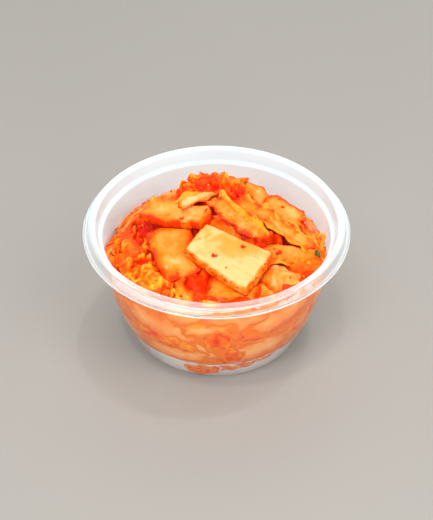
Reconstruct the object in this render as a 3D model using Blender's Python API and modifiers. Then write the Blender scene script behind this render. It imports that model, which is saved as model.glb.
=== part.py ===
"""Kimchi heaped in a clear deli bowl.

The bowl is one thin moulded sheet of clear plastic: a base, a curved wall with a crease low down, a ledge
for stacking and a stepped rim for a lid. The kimchi is a heap that fills it and rises above the rim towards
the back. The big pieces that lie on the heap, cut stems and crumpled leaves, are nodes of their own, let
into the heap with a small gap.

The frame: +Z up, the origin at the middle of the foot on the table, -Y towards the front.
"""

import math
from collections import namedtuple

import bmesh
import bpy
from mathutils import Matrix, Vector

MM = 0.001

# The bowl, in millimetres. Its sizes are those of the side that the food touches.
RIM_DIAMETER = 117.0
HEIGHT = 58.0
SHEET = 0.5
LIP_WIDTH = 1.6
LIP_DROP = 3.5
LIP_TURN = 0.2
TOP_WIDTH = 3.3
TOP_ROUNDING = 0.6
STEP_SLOPE = 0.7
LEDGE_DEPTH = 5.8
LEDGE_WIDTH = 2.1
LEDGE_SLOPE = 0.5
LEDGE_ROUNDING = 0.7
CREASE_HEIGHT = 13.0
CREASE_RADIUS = 42.3
CREASE_STEP = 0.5
WALL_TOP_RADIUS = 49.9
WALL_BEND = 2.1
FOOT_RADIUS = 37.1
FOOT_ROUNDING = 5.0
FOOT_INNER_RADIUS = 31.5
PUSH_UP = 1.6
BOWL_SEGMENTS = 36

# The heap, in millimetres.
HEAP_RINGS = 18
PEAK_AT = (2.0, 13.0)
PEAK_HEIGHT = 68.5
WALL_CONTACT = 44.0
CONTACT_SWING = 8.0
CONTACT_SKEW = 1.8
MOUND_POWER = 1.1
POWER_SWING = 0.25
BROAD_BUMPS = 1.6
FINE_BUMPS = 0.9
FACET_CLEARANCE = 0.5
SIDE_SHARE = 0.62
SIDE_POWER = 1.15
BASE_RETREAT = 4.5
RETREAT_POWER = 1.4

# The big pieces, in millimetres.
GAP = 0.35
STEEP_GAP = 2.0
HEADROOM = 9.0
TAPER = 0.10
FLARE = 0.03
EDGE_ROUNDING = 0.2

Piece = namedtuple("Piece", "size at turn cup arch ruffle cells colour")

PALE = (0.93, 0.55, 0.20)
ORANGE = (0.92, 0.38, 0.06)
RED = (0.85, 0.17, 0.02)

# From the uppermost to the lowest, so that each is cut only by those above it. Sizes are length, width and
# thickness; at is the middle; turn is yaw, the rise along the length and the rise across the width.
PIECES = {
    "stem_slab_centre": Piece((33, 22, 5.0), (4.5, -23.0, 58.0), (-32, -10, 15), 0.8, 0.7, 0, (5, 3), PALE),
    "leaf_top": Piece((24, 15, 1.6), (0.5, 15.5, 68.6), (-12, 2, 10), -3.0, -2.5, 1.3, (8, 5), RED),
    "stem_strip_top": Piece((17, 8, 2.6), (-6.2, 6.6, 67.0), (24, 12, 8), 0.8, -1.2, 0, (4, 2), PALE),
    "stem_strip_middle": Piece((30, 9, 3.2), (9.0, -4.6, 64.0), (-40, -13, 4), 0.8, -1.6, 0, (4, 2), ORANGE),
    "stem_slab_back_left": Piece((30, 14, 3.6), (-17.0, -0.2, 60.6), (-24, 8, 17), 1.8, 0.8, 0, (5, 3), PALE),
    "stem_slab_right": Piece((15, 12, 3.4), (29.8, 0.6, 58.0), (-20, -14, 6), -0.8, -0.6, 0, (3, 2), PALE),
    "stem_strip_right": Piece((42, 8.5, 3.2), (27.0, -4.2, 59.4), (-29, -19, 6), 0.7, -2.4, 0, (6, 2), ORANGE),
    "stem_strip_back": Piece((19, 7.5, 3.0), (17.2, 12.0, 62.6), (-38, -13, 8), -0.7, -1.0, 0, (3, 2), ORANGE),
    "stem_slab_left": Piece((29, 20, 4.4), (-18.2, -16.0, 55.8), (-74, -12, 19), 1.2, -1.2, 0, (5, 3), PALE),
    "leaf_right": Piece((23, 14, 1.5), (32.0, -16.8, 52.6), (22, -15, 10), -1.6, -2.2, 1.1, (7, 4), RED),
    "stem_fold_right": Piece((17, 14, 3.8), (25.4, -28.6, 50.6), (-40, -6, 8), -2.6, -1.8, 0, (4, 4), ORANGE),
    "stem_slab_front": Piece((21, 14, 4.0), (7.0, -36.4, 49.4), (-14, -4, 12), 0.6, -0.8, 0, (4, 2), PALE),
    "stem_chunk_left": Piece((21, 12, 4.6), (-29.0, -26.4, 50.4), (-44, 3, 10), -1.4, -1.6, 0, (4, 3), ORANGE),
    "leaf_left": Piece((26, 17, 1.6), (-36.0, -3.4, 50.2), (80, 4, -16), -2.6, -2.4, 1.5, (8, 5), RED),
    "stem_slab_back": Piece((28, 17, 4.0), (-14.0, 27.5, 54.4), (24, 2, -34), -1.0, -1.2, 0, (4, 3), PALE),
    "leaf_back": Piece((25, 16, 1.6), (17.0, 28.0, 50.6), (-32, -3, -38), -2.0, -2.2, 1.2, (7, 4), RED),
}


def clear_scene():
    """Removes every object that the file starts with."""
    for obj in list(bpy.data.objects):
        bpy.data.objects.remove(obj, do_unlink=True)


def collection(name):
    """A new collection in the scene."""
    made = bpy.data.collections.new(name)
    bpy.context.scene.collection.children.link(made)
    return made


def material(name, colour, roughness, transmission=0.0):
    """A plain Principled material."""
    made = bpy.data.materials.new(name)
    made.use_nodes = True
    shader = made.node_tree.nodes["Principled BSDF"]
    shader.inputs["Base Color"].default_value = (*colour, 1.0)
    shader.inputs["Roughness"].default_value = roughness
    shader.inputs["Metallic"].default_value = 0.0
    shader.inputs["Transmission Weight"].default_value = transmission
    return made


def filleted(corners, steps):
    """The outline through (radius from the axis, height, rounding) corners, each rounded by an arc."""
    points = []
    for i, (x, z, rounding) in enumerate(corners):
        here = Vector((x, z))
        if rounding == 0:
            points.append(here)
            continue
        back = (Vector(corners[i - 1][:2]) - here).normalized()
        on = (Vector(corners[i + 1][:2]) - here).normalized()
        half = back.angle(on) / 2
        reach = rounding / math.tan(half)
        centre = here + (back + on).normalized() * rounding / math.sin(half)
        start = here + back * reach - centre
        sweep = start.angle_signed(here + on * reach - centre)
        for k in range(steps + 1):
            points.append(centre + Matrix.Rotation(-sweep * k / steps, 2) @ start)
    return points


def wall_radius(z):
    """Radius of the food side of the curved wall, from the crease up to the ledge."""
    top = HEIGHT - LEDGE_DEPTH
    share = (top - z) / (top - CREASE_HEIGHT)
    return CREASE_RADIUS + (WALL_TOP_RADIUS - CREASE_RADIUS) * (1 - share**WALL_BEND)


def bowl_profile(steps=2, wall_points=6):
    """The food side of the sheet, from the lip over the rim and down the wall to the axis."""
    lip = RIM_DIAMETER / 2
    step_foot = lip - LIP_WIDTH
    top_outer = step_foot - STEP_SLOPE
    top_inner = top_outer - TOP_WIDTH
    ledge = HEIGHT - LEDGE_DEPTH
    rim = [
        (lip, HEIGHT - LIP_DROP - LIP_TURN, 0),
        (step_foot, HEIGHT - LIP_DROP, 0),
        (top_outer, HEIGHT, TOP_ROUNDING),
        (top_inner, HEIGHT, TOP_ROUNDING),
        (WALL_TOP_RADIUS + LEDGE_WIDTH, ledge + LEDGE_SLOPE, 0),
        (WALL_TOP_RADIUS, ledge, LEDGE_ROUNDING),
    ]
    wall = []
    for k in range(1, wall_points + 1):
        z = ledge + (CREASE_HEIGHT - ledge) * k / wall_points
        wall.append((wall_radius(z), z, 0))
    foot = [
        (CREASE_RADIUS - CREASE_STEP, CREASE_HEIGHT - CREASE_STEP, 0),
        (FOOT_RADIUS, SHEET, FOOT_ROUNDING),
        (FOOT_INNER_RADIUS, SHEET, 0),
        (FOOT_INNER_RADIUS - PUSH_UP, SHEET + PUSH_UP, 0),
        (0.0, SHEET + PUSH_UP, 0),
    ]
    return filleted(rim + wall + foot, steps)


def food_side(profile):
    """A function that gives the inner radius of the bowl at a height below the ledge."""
    wall = [p for p in profile if p.y < HEIGHT - LEDGE_DEPTH]

    def radius_at(z):
        for high, low in zip(wall, wall[1:]):
            if low.y <= z <= high.y and high.y > low.y:
                return low.x + (high.x - low.x) * (z - low.y) / (high.y - low.y)
        return WALL_TOP_RADIUS

    return radius_at


def make_bowl(parts, profile):
    """The profile turned about the axis, and thickened away from the food."""
    mesh = bpy.data.meshes.new("bowl")
    points = [(p.x * MM, 0.0, p.y * MM) for p in profile]
    mesh.from_pydata(points, [(i, i + 1) for i in range(len(points) - 1)], [])
    mesh.materials.append(material("clear plastic", (0.95, 0.96, 0.97), 0.05, 1.0))
    bowl = bpy.data.objects.new("bowl", mesh)
    parts.objects.link(bowl)
    screw = bowl.modifiers.new("turn", "SCREW")
    screw.steps = screw.render_steps = BOWL_SEGMENTS
    screw.use_merge_vertices = True
    screw.merge_threshold = 0.00002
    sheet = bowl.modifiers.new("sheet", "SOLIDIFY")
    sheet.thickness = SHEET * MM
    sheet.offset = 1.0
    sheet.use_even_offset = True


def contact_height(angle):
    """How high the kimchi reaches up the wall: highest in front, lowest behind and to the right."""
    return WALL_CONTACT - CONTACT_SWING * math.sin(angle) - CONTACT_SKEW * math.sin(2 * angle)


def unevenness(x, y):
    """The bumps and hollows between the pieces of the heap."""
    broad = math.sin(x / 4.3 + 1.1) * math.sin(y / 4.9 + 0.4)
    fine = math.sin(x / 2.3 - y / 3.1) * math.cos(y / 2.2 + x / 5.7)
    return BROAD_BUMPS * broad + FINE_BUMPS * fine


def mound_height(x, y, wall_at):
    """Height of the heap's surface: from its peak it falls to the wall, less steeply in front than behind."""
    peak = Vector(PEAK_AT)
    away = Vector((x, y)) - peak
    if away.length < MM:
        return PEAK_HEIGHT
    on = away.normalized()
    along = -peak.dot(on) + math.sqrt(peak.dot(on) ** 2 - peak.length_squared + wall_at**2)
    edge = peak + on * along
    share = min(away.length / along, 1.0)
    low = contact_height(math.atan2(edge.y, edge.x))
    uneven = unevenness(x, y) * min(1.0, 5 * (1 - share))
    power = MOUND_POWER - POWER_SWING * on.y
    return PEAK_HEIGHT + (low - PEAK_HEIGHT) * share**power + uneven


def heap_point(direction, radius_at):
    """Where a point of a ball goes on the heap: its upper half to the mound, its lower to wall and base."""
    angle = math.atan2(direction.y, direction.x)
    lift = math.asin(max(-1.0, min(1.0, direction.z))) / (math.pi / 2)
    contact = contact_height(angle)
    top_radius = radius_at(contact) - FACET_CLEARANCE
    if lift >= 0:
        radius = top_radius * (1 - lift)
        x, y = radius * math.cos(angle), radius * math.sin(angle)
        return x, y, mound_height(x, y, top_radius)
    base = SHEET + PUSH_UP + GAP
    fall = min(1.0, -lift / SIDE_SHARE)
    z = contact + (base - contact) * fall**SIDE_POWER
    radius = radius_at(z) - FACET_CLEARANCE
    if z < CREASE_HEIGHT:
        radius -= BASE_RETREAT * (1 - z / CREASE_HEIGHT) ** RETREAT_POWER
    if -lift > SIDE_SHARE:
        radius *= (1 + lift) / (1 - SIDE_SHARE)
    return radius * math.cos(angle), radius * math.sin(angle), z


def make_heap(parts, profile):
    """The heap: a ball whose points are moved to the mound, the wall and the base of the bowl."""
    radius_at = food_side(profile)
    bm = bmesh.new()
    bmesh.ops.create_uvsphere(bm, u_segments=BOWL_SEGMENTS, v_segments=HEAP_RINGS, radius=1.0)
    for vertex in bm.verts:
        vertex.co = Vector(heap_point(vertex.co, radius_at)) * MM
    mesh = bpy.data.meshes.new("kimchi_heap")
    bm.to_mesh(mesh)
    bm.free()
    mesh.materials.append(material("heaped kimchi", (0.88, 0.30, 0.05), 0.3))
    mesh.shade_smooth()
    heap = bpy.data.objects.new("kimchi_heap", mesh)
    parts.objects.link(heap)
    return heap


def piece_surface(piece, u, v):
    """Height of a piece's middle surface at u along and v across, each from -1 to 1."""
    length, width, _ = piece.size
    bend = piece.arch * u * u + piece.cup * v * v
    x, y = u * length / 2, v * width / 2
    reach = 0.35 + 0.65 * max(abs(u), abs(v))
    crumple = math.sin(x / 1.9 + 0.7) * math.cos(y / 1.7 - 0.4) + 0.6 * math.sin(y / 1.3 + x / 2.6)
    return bend + piece.ruffle * reach * crumple


def piece_matrix(piece):
    """The piece's place: yaw about the vertical, then the rise along its length and across its width."""
    yaw, rise, roll = (math.radians(a) for a in piece.turn)
    turned = Matrix.Rotation(yaw, 4, "Z") @ Matrix.Rotation(-rise, 4, "Y") @ Matrix.Rotation(roll, 4, "X")
    return Matrix.Translation(Vector(piece.at) * MM) @ turned


def outward(share):
    """1 or -1 at the two ends of a side, and 0 between them, so that only a piece's border grows."""
    return round(share) if abs(share) > 0.999 else 0


def piece_object(where, name, piece, grow=0.0, headroom=0.0):
    """One stem or leaf: a bent sheet with thickness, tapering if a stem, flaring a little if a leaf.

    Grown, it takes its gap with it, more up and down where the sheet is steep. Headroom is added on top.
    """
    length, width, thickness = piece.size
    along, across = piece.cells
    taper = -FLARE if piece.ruffle else TAPER
    rise = grow * (STEEP_GAP if piece.ruffle else 1.0)
    bm = bmesh.new()
    bmesh.ops.create_grid(bm, x_segments=along, y_segments=across, size=1.0)
    for vertex in bm.verts:
        u, v = vertex.co.x, vertex.co.y
        x = u * length / 2 + grow * outward(u)
        y = v * width / 2 * (1 - taper * (u + 1)) + grow * outward(v)
        vertex.co = Vector((x, y, piece_surface(piece, u, v) - thickness / 2 - rise)) * MM
    top = bmesh.ops.extrude_face_region(bm, geom=bm.faces[:])["geom"]
    raised = [element for element in top if isinstance(element, bmesh.types.BMVert)]
    bmesh.ops.translate(bm, verts=raised, vec=(0, 0, (thickness + 2 * rise + headroom) * MM))
    bmesh.ops.recalc_face_normals(bm, faces=bm.faces[:])
    if piece.ruffle:
        bmesh.ops.triangulate(bm, faces=bm.faces[:], quad_method="FIXED")
    mesh = bpy.data.meshes.new(name)
    bm.to_mesh(mesh)
    bm.free()
    made = bpy.data.objects.new(name, mesh)
    where.objects.link(made)
    made.matrix_world = piece_matrix(piece)
    return made


def make_piece(parts, name, piece):
    """A piece with its colour, and with rounded edges if it is a stem."""
    made = piece_object(parts, name, piece)
    made.data.materials.append(material(name.replace("_", " "), piece.colour, 0.3))
    if not piece.ruffle:
        edge = made.modifiers.new("rounded edge", "BEVEL")
        edge.width = EDGE_ROUNDING * piece.size[2] * MM
        edge.segments = 1
        edge.limit_method = "ANGLE"
        edge.angle_limit = math.radians(50)
    return made


def make_cutter(cutters, name, piece):
    """The shape that makes room for a piece, up to well above it, so that nothing is left over it."""
    made = piece_object(cutters, f"{name}_cutter", piece, GAP, HEADROOM)
    made.hide_render = True
    made.display_type = "WIRE"
    return made


def cut(obj, cutter):
    """Takes the shape of an object, or of all the objects in a collection, out of obj."""
    taken = obj.modifiers.new(cutter.name, "BOOLEAN")
    taken.operation = "DIFFERENCE"
    taken.solver = "EXACT"
    if isinstance(cutter, bpy.types.Collection):
        taken.operand_type = "COLLECTION"
        taken.collection = cutter
    else:
        taken.object = cutter


def corners_of(obj):
    """The lowest and highest corner of the object's box in the world."""
    box = [obj.matrix_world @ Vector(corner) for corner in obj.bound_box]
    low = Vector([min(corner[i] for corner in box) for i in range(3)])
    high = Vector([max(corner[i] for corner in box) for i in range(3)])
    return low, high


def near(a, b):
    """True if the boxes of the two objects meet."""
    (low_a, high_a), (low_b, high_b) = corners_of(a), corners_of(b)
    return all(low_a[i] <= high_b[i] and low_b[i] <= high_a[i] for i in range(3))


def make_pieces(parts, cutters, heap):
    """All the big pieces, each cut by those above it, and the heap cut by them all."""
    above = []
    for name, piece in PIECES.items():
        obj = make_piece(parts, name, piece)
        bpy.context.view_layer.update()
        for cutter in above:
            if near(obj, cutter):
                cut(obj, cutter)
        above.append(make_cutter(cutters, name, piece))
    cut(heap, cutters)


def main():
    clear_scene()
    parts = collection("kimchi_bowl")
    cutters = collection("cutters")
    profile = bowl_profile()
    make_bowl(parts, profile)
    heap = make_heap(parts, profile)
    make_pieces(parts, cutters, heap)


main()
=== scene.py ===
"""The looks of kimchi heaped in a clear deli bowl: cut cabbage stems, crumpled leaves, sauce and clear plastic.

The bowl is turned again more finely. The big pieces are made at the places of their CAD nodes. The heap's solid
gives way to a smaller core with many cut pieces laid over it and pressed against the wall of the bowl, each
settled on what lies below it by a height map. Lengths are in millimetres until a mesh is made.
"""

import math
from collections import namedtuple

import bpy
import numpy as np
from mathutils import Matrix, Vector


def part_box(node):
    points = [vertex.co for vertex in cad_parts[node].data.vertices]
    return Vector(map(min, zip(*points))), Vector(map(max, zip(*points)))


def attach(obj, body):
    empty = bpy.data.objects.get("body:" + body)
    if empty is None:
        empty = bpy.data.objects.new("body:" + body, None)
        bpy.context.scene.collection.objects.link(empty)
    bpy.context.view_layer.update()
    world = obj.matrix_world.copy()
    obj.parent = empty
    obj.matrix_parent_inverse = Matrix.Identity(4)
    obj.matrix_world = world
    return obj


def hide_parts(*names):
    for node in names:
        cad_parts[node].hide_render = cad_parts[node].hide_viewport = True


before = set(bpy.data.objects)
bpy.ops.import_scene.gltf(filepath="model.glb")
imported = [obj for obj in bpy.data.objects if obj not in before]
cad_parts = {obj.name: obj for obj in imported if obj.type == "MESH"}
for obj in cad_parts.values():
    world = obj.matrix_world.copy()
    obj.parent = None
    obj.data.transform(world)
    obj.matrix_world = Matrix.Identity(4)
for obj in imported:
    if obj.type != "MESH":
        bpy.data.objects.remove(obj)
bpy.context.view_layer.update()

MM = 0.001

# The bowl, as in the CAD model; the food side of the sheet.
RIM_RADIUS = 1000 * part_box("bowl")[1].x
HEIGHT = 1000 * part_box("bowl")[1].z
SHEET = 0.5
LIP_WIDTH = 1.6
LIP_DROP = 3.5
TOP_WIDTH = 3.3
STEP_SLOPE = 0.7
LEDGE_DEPTH = 5.8
LEDGE_WIDTH = 2.1
CREASE_HEIGHT = 13.0
CREASE_RADIUS = 42.3
CREASE_STEP = 0.5
WALL_TOP_RADIUS = 49.9
WALL_BEND = 2.1
FOOT_RADIUS = 37.1
FOOT_ROUNDING = 5.0
FOOT_INNER_RADIUS = 31.5
PUSH_UP = 1.6
BOWL_SEGMENTS = 192

# The heap, as in the CAD model.
PEAK_AT = (2.0, 13.0)
PEAK_HEIGHT = 68.5
WALL_CONTACT = 44.0
CONTACT_SWING = 8.0
CONTACT_SKEW = 1.8
MOUND_POWER = 1.1
POWER_SWING = 0.25
BASE_RETREAT = 3.2

# How the kimchi is laid.
INTO_WALL = 0.06
CORE_BELOW = 4.5
FOOT_GAP = 1.0
CORE_UNDER = 3.0
GROOVE = 0.16
SKIRT_SHARE = 0.15
SKIRT_SLOPE = 0.7
HALF = 52.0
CELL = 0.5


# ---------------------------------------------------------------------------------------------------------
# Smooth noise, height maps


def noise_field(seed, size, octaves=2, dims=3):
    """A smooth noise: a function from rows of points to values of about -1 to 1. Size is its coarsest wave."""
    rng = np.random.default_rng(seed)
    layers = []
    for octave in range(octaves):
        waves = rng.normal(size=(9, dims))
        waves /= np.linalg.norm(waves, axis=1, keepdims=True)
        waves *= 2 * math.pi / (size / 2**octave) * rng.uniform(0.75, 1.35, (9, 1))
        layers.append((waves, rng.uniform(0, 2 * math.pi, 9), 0.5**octave / 3.0))

    def value(points):
        points = np.asarray(points, float)
        return sum(gain * np.sin(points @ waves.T + phase).sum(axis=-1) for waves, phase, gain in layers)

    return value


class HeightMap:
    """Heights on a square grid, read smoothly and raised or lowered under points. It may wrap along x."""

    def __init__(self, low, high, start, wraps=False):
        self.low = np.array(low, float)
        self.count = (np.round((np.array(high) - self.low) / CELL)).astype(int) + 1
        self.wraps = wraps
        grid_x = self.low[0] + CELL * np.arange(self.count[0])
        grid_y = self.low[1] + CELL * np.arange(self.count[1])
        self.x, self.y = np.meshgrid(grid_x, grid_y, indexing="ij")
        self.z = np.full(self.x.shape, float(start)) if np.isscalar(start) else start(self.x, self.y)

    def cells(self, x, y):
        fx = (x - self.low[0]) / CELL
        fy = np.clip((y - self.low[1]) / CELL, 0, self.count[1] - 1.001)
        if self.wraps:
            fx = np.mod(fx, self.count[0] - 1)
        return np.clip(fx, 0, self.count[0] - 1.001), fy

    def read(self, x, y):
        fx, fy = self.cells(x, y)
        i, j = fx.astype(int), fy.astype(int)
        a, b = fx - i, fy - j
        z = self.z
        low = z[i, j] * (1 - a) + z[i + 1, j] * a
        high = z[i, j + 1] * (1 - a) + z[i + 1, j + 1] * a
        return low * (1 - b) + high * b

    def splat(self, x, y, z, highest=True):
        """Raises the cells under the points to them, or lowers the cells over them."""
        fx, fy = self.cells(x, y)
        i, j = np.round(fx).astype(int), np.round(fy).astype(int)
        (np.maximum if highest else np.minimum).at(self.z, (i, j), z)


def finer(grid, times=3):
    """A grid of values with more rows and columns, read linearly between the old ones."""
    for axis in (0, 1):
        n = grid.shape[axis]
        at = np.linspace(0, n - 1, (n - 1) * times + 1)
        low = np.minimum(at.astype(int), n - 2)
        share = (at - low).reshape([-1 if a == axis else 1 for a in range(grid.ndim)])
        grid = np.take(grid, low, axis) * (1 - share) + np.take(grid, low + 1, axis) * share
    return grid


def smoothed(grid, rounds):
    """A grid blurred by averaging each value with its neighbours."""
    for _ in range(rounds):
        padded = np.pad(grid, 1, mode="edge")
        grid = (
            2 * padded[1:-1, 1:-1]
            + 0.5 * (padded[:-2, 1:-1] + padded[2:, 1:-1] + padded[1:-1, :-2] + padded[1:-1, 2:])
        ) / 4
    return grid


def spread_out(grid, rounds, pick, step=0.0):
    """Each value replaced by the highest or lowest of its neighbourhood; pick is np.maximum or np.minimum.

    The step is added to the neighbours' values, so that what spreads out rises or falls as it goes.
    """
    for _ in range(rounds):
        z = np.pad(grid, 1, mode="edge") + step
        grid = pick.reduce([grid, z[:-2, 1:-1], z[2:, 1:-1], z[1:-1, :-2], z[1:-1, 2:]])
    return grid


# ---------------------------------------------------------------------------------------------------------
# The shape of the bowl and of the heap


def filleted(corners, steps):
    """The outline through (radius from the axis, height, rounding) corners, each rounded by an arc."""
    points = []
    for i, (x, z, rounding) in enumerate(corners):
        here = Vector((x, z))
        if rounding == 0:
            points.append(here)
            continue
        back = (Vector(corners[i - 1][:2]) - here).normalized()
        on = (Vector(corners[i + 1][:2]) - here).normalized()
        half = back.angle(on) / 2
        reach = rounding / math.tan(half)
        centre = here + (back + on).normalized() * rounding / math.sin(half)
        start = here + back * reach - centre
        sweep = start.angle_signed(here + on * reach - centre)
        for k in range(steps + 1):
            points.append(centre + Matrix.Rotation(-sweep * k / steps, 2) @ start)
    return points


def wall_radius(z):
    """Radius of the food side of the curved wall, from the crease up to the ledge."""
    top = HEIGHT - LEDGE_DEPTH
    share = np.clip((top - z) / (top - CREASE_HEIGHT), 0, 1)
    return CREASE_RADIUS + (WALL_TOP_RADIUS - CREASE_RADIUS) * (1 - share**WALL_BEND)


def bowl_profile():
    """The food side of the sheet, from the lip over the rim and down the wall to the axis."""
    step_foot = RIM_RADIUS - LIP_WIDTH
    top_outer = step_foot - STEP_SLOPE
    top_inner = top_outer - TOP_WIDTH
    ledge = HEIGHT - LEDGE_DEPTH
    rim = [
        (RIM_RADIUS, HEIGHT - LIP_DROP - 0.2, 0),
        (RIM_RADIUS - 0.35, HEIGHT - LIP_DROP + 0.05, 0.15),
        (step_foot, HEIGHT - LIP_DROP, 0.4),
        (top_outer, HEIGHT, 0.7),
        (top_inner, HEIGHT, 0.7),
        (WALL_TOP_RADIUS + LEDGE_WIDTH, ledge + 0.5, 0.6),
        (WALL_TOP_RADIUS, ledge, 0.8),
    ]
    wall = []
    for k in range(1, 25):
        z = ledge + (CREASE_HEIGHT - ledge) * k / 24
        wall.append((float(wall_radius(z)), z, 0))
    foot = [
        (CREASE_RADIUS - CREASE_STEP, CREASE_HEIGHT - CREASE_STEP, 0),
        (FOOT_RADIUS, SHEET, FOOT_ROUNDING),
        (FOOT_INNER_RADIUS, SHEET, 0.8),
        (FOOT_INNER_RADIUS - PUSH_UP, SHEET + PUSH_UP, 0.8),
        (FOOT_INNER_RADIUS / 2, SHEET + PUSH_UP, 0),
        (0.0, SHEET + PUSH_UP, 0),
    ]
    return filleted(rim + wall + foot, 6)


PROFILE = bowl_profile()
SIDE = sorted((p.y, p.x) for p in PROFILE if p.y < HEIGHT - LEDGE_DEPTH and p.x > FOOT_RADIUS - FOOT_ROUNDING)
SIDE_Z = np.array([z for z, _ in SIDE])
SIDE_R = np.array([r for _, r in SIDE])


def side_radius(z):
    """Radius of the food side of the bowl at any height up to the ledge, and above it that of the ledge."""
    return np.interp(z, SIDE_Z, SIDE_R)


def contact_height(angle):
    """How high the kimchi reaches up the wall: highest in front, lowest behind and to the right."""
    return WALL_CONTACT - CONTACT_SWING * np.sin(angle) - CONTACT_SKEW * np.sin(2 * angle)


# Where the heap lies lower against the wall than the mound: where, how wide and how deep.
WALL_DIPS = [(44.0, 1.0, 14.0, 10.0), (-40.0, 11.0, 12.0, 7.0)]


def dip_at(x, y, dips):
    """How far the hollows lower the heap there."""
    return sum(deep * np.exp(-((x - at_x) ** 2 + (y - at_y) ** 2) / across**2) for at_x, at_y, across, deep in dips)


def wall_contact(angle):
    """How high the heap reaches up the wall, with the places where it lies lower."""
    return contact_height(angle) - dip_at(50 * np.cos(angle), 50 * np.sin(angle), WALL_DIPS)


def mound_height(x, y):
    """Height of the heap at points of the plan, without its bumps. Outside the bowl's wall it stays level."""
    wall_at = side_radius(WALL_CONTACT) - 0.5
    px, py = PEAK_AT
    dx, dy = x - px, y - py
    length = np.maximum(np.hypot(dx, dy), 1e-6)
    ux, uy = dx / length, dy / length
    dot = px * ux + py * uy
    along = -dot + np.sqrt(dot**2 - (px**2 + py**2) + wall_at**2)
    share = np.minimum(length / along, 1.0)
    low = contact_height(np.arctan2(py + uy * along, px + ux * along))
    return PEAK_HEIGHT + (low - PEAK_HEIGHT) * share ** (MOUND_POWER - POWER_SWING * uy)


# ---------------------------------------------------------------------------------------------------------
# One piece of cabbage: a closed sheet over a grid of shares u along and v across, each from -1 to 1


class Sheet:
    """A piece under way: its upper and lower points on one grid, and the values that its material reads.

    edge is 1 at the cut border and above 1 on the cut side, vein marks grooves and, on a leaf,
    the hollows and ridges of its folds, for painted shade and painted highlight; leafy is 1 where the piece is
    thin leaf, and tone is one number for the whole piece.
    """

    def __init__(self, upper, lower, edge, vein, leafy, tone, bulge=0.0):
        self.upper = upper
        self.lower = lower
        self.edge = edge
        self.vein = vein
        self.leafy = leafy
        self.tone = tone
        self.bulge = bulge

    def moved(self, matrix):
        """Turns and moves the piece by a 4 x 4 matrix in millimetres."""
        turn, shift = np.array(matrix)[:3, :3], np.array(matrix)[:3, 3]
        self.upper = self.upper @ turn.T + shift
        self.lower = self.lower @ turn.T + shift
        return self

    def mesh(self):
        """Points, four-cornered faces, and a dictionary of the values of each point."""
        n, m = self.edge.shape
        top = np.arange(n * m).reshape(n, m)
        under = top + n * m
        border = np.concatenate([top[:-1, 0], top[-1, :-1], top[:0:-1, -1], top[0, :0:-1]])
        high, low = self.upper.reshape(-1, 3)[border], self.lower.reshape(-1, 3)[border]
        up = high - low
        thick = np.linalg.norm(up, axis=1, keepdims=True) + 1e-9
        out = np.cross(np.roll(high, -1, 0) - np.roll(high, 1, 0), up / thick)
        out /= np.linalg.norm(out, axis=1, keepdims=True) + 1e-9
        points = [self.upper.reshape(-1, 3), self.lower.reshape(-1, 3)]
        values = [self.edge.ravel(), self.edge.ravel()]
        rings = [border]
        steps = SIDE_STEPS if self.bulge else ()
        for share in steps:
            points.append(high - up * share + out * thick * self.bulge * 4 * share * (1 - share))
            values.append(np.full(len(border), 1.7))
            start = 2 * n * m + len(border) * (len(rings) - 1)
            rings.append(np.arange(start, start + len(border)))
        rings.append(border + n * m)
        quads = [
            np.stack([top[:-1, :-1], top[1:, :-1], top[1:, 1:], top[:-1, 1:]], -1).reshape(-1, 4),
            np.stack([under[:-1, :-1], under[:-1, 1:], under[1:, 1:], under[1:, :-1]], -1).reshape(-1, 4),
        ]
        for above, below in zip(rings, rings[1:]):
            quads.append(np.stack([above, below, np.roll(below, -1), np.roll(above, -1)], -1))

        def spread(grid):
            flat = grid.ravel()
            return np.concatenate([flat, flat] + [flat[border]] * len(steps))

        points = np.concatenate(points)
        values = {"edge": np.concatenate(values), "vein": spread(self.vein), "leafy": spread(self.leafy)}
        values["tone"] = np.full(len(points), self.tone)
        return points, np.concatenate(quads), values


SIDE_STEPS = (0.18, 0.5, 0.82)
PLEAT = 5.2


def smoothstep(value):
    value = np.clip(value, 0, 1)
    return value * value * (3 - 2 * value)


def shares(n, crowded=True):
    """n shares from -1 to 1, closer together towards the ends if crowded."""
    even = np.linspace(-1, 1, n)
    return np.sin(even * math.pi / 2) * 0.75 + even * 0.25 if crowded else even


def outline(u, v, size, seed, taper, ragged, corner):
    """The plan of a piece: a rectangle with rounded corners, uneven sides and one narrower end."""
    length, width = size
    ends = noise_field(seed, 9.0, 2, 1)
    sides = noise_field(seed + 1, 12.0, 2, 1)
    pull = 1 - corner * (np.abs(u) * np.abs(v)) ** 5
    x = u * length / 2 * pull
    y = v * width / 2 * pull * (1 - taper * (u + 1))
    across = (v * width / 2 + 40 * np.sign(u))[..., None]
    lengthways = (u * length / 2 + 40 * np.sign(v))[..., None]
    x = x + ragged * ends(across) * np.sign(u) * np.abs(u) ** 3
    y = y + ragged * sides(lengthways) * np.sign(v) * np.abs(v) ** 3
    return x, y


def grooves(values, width=0.22):
    """1 along the lines where the values cross zero, falling to 0 at their sides."""
    return np.clip(1 - np.abs(values) / width, 0, 1)


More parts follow.
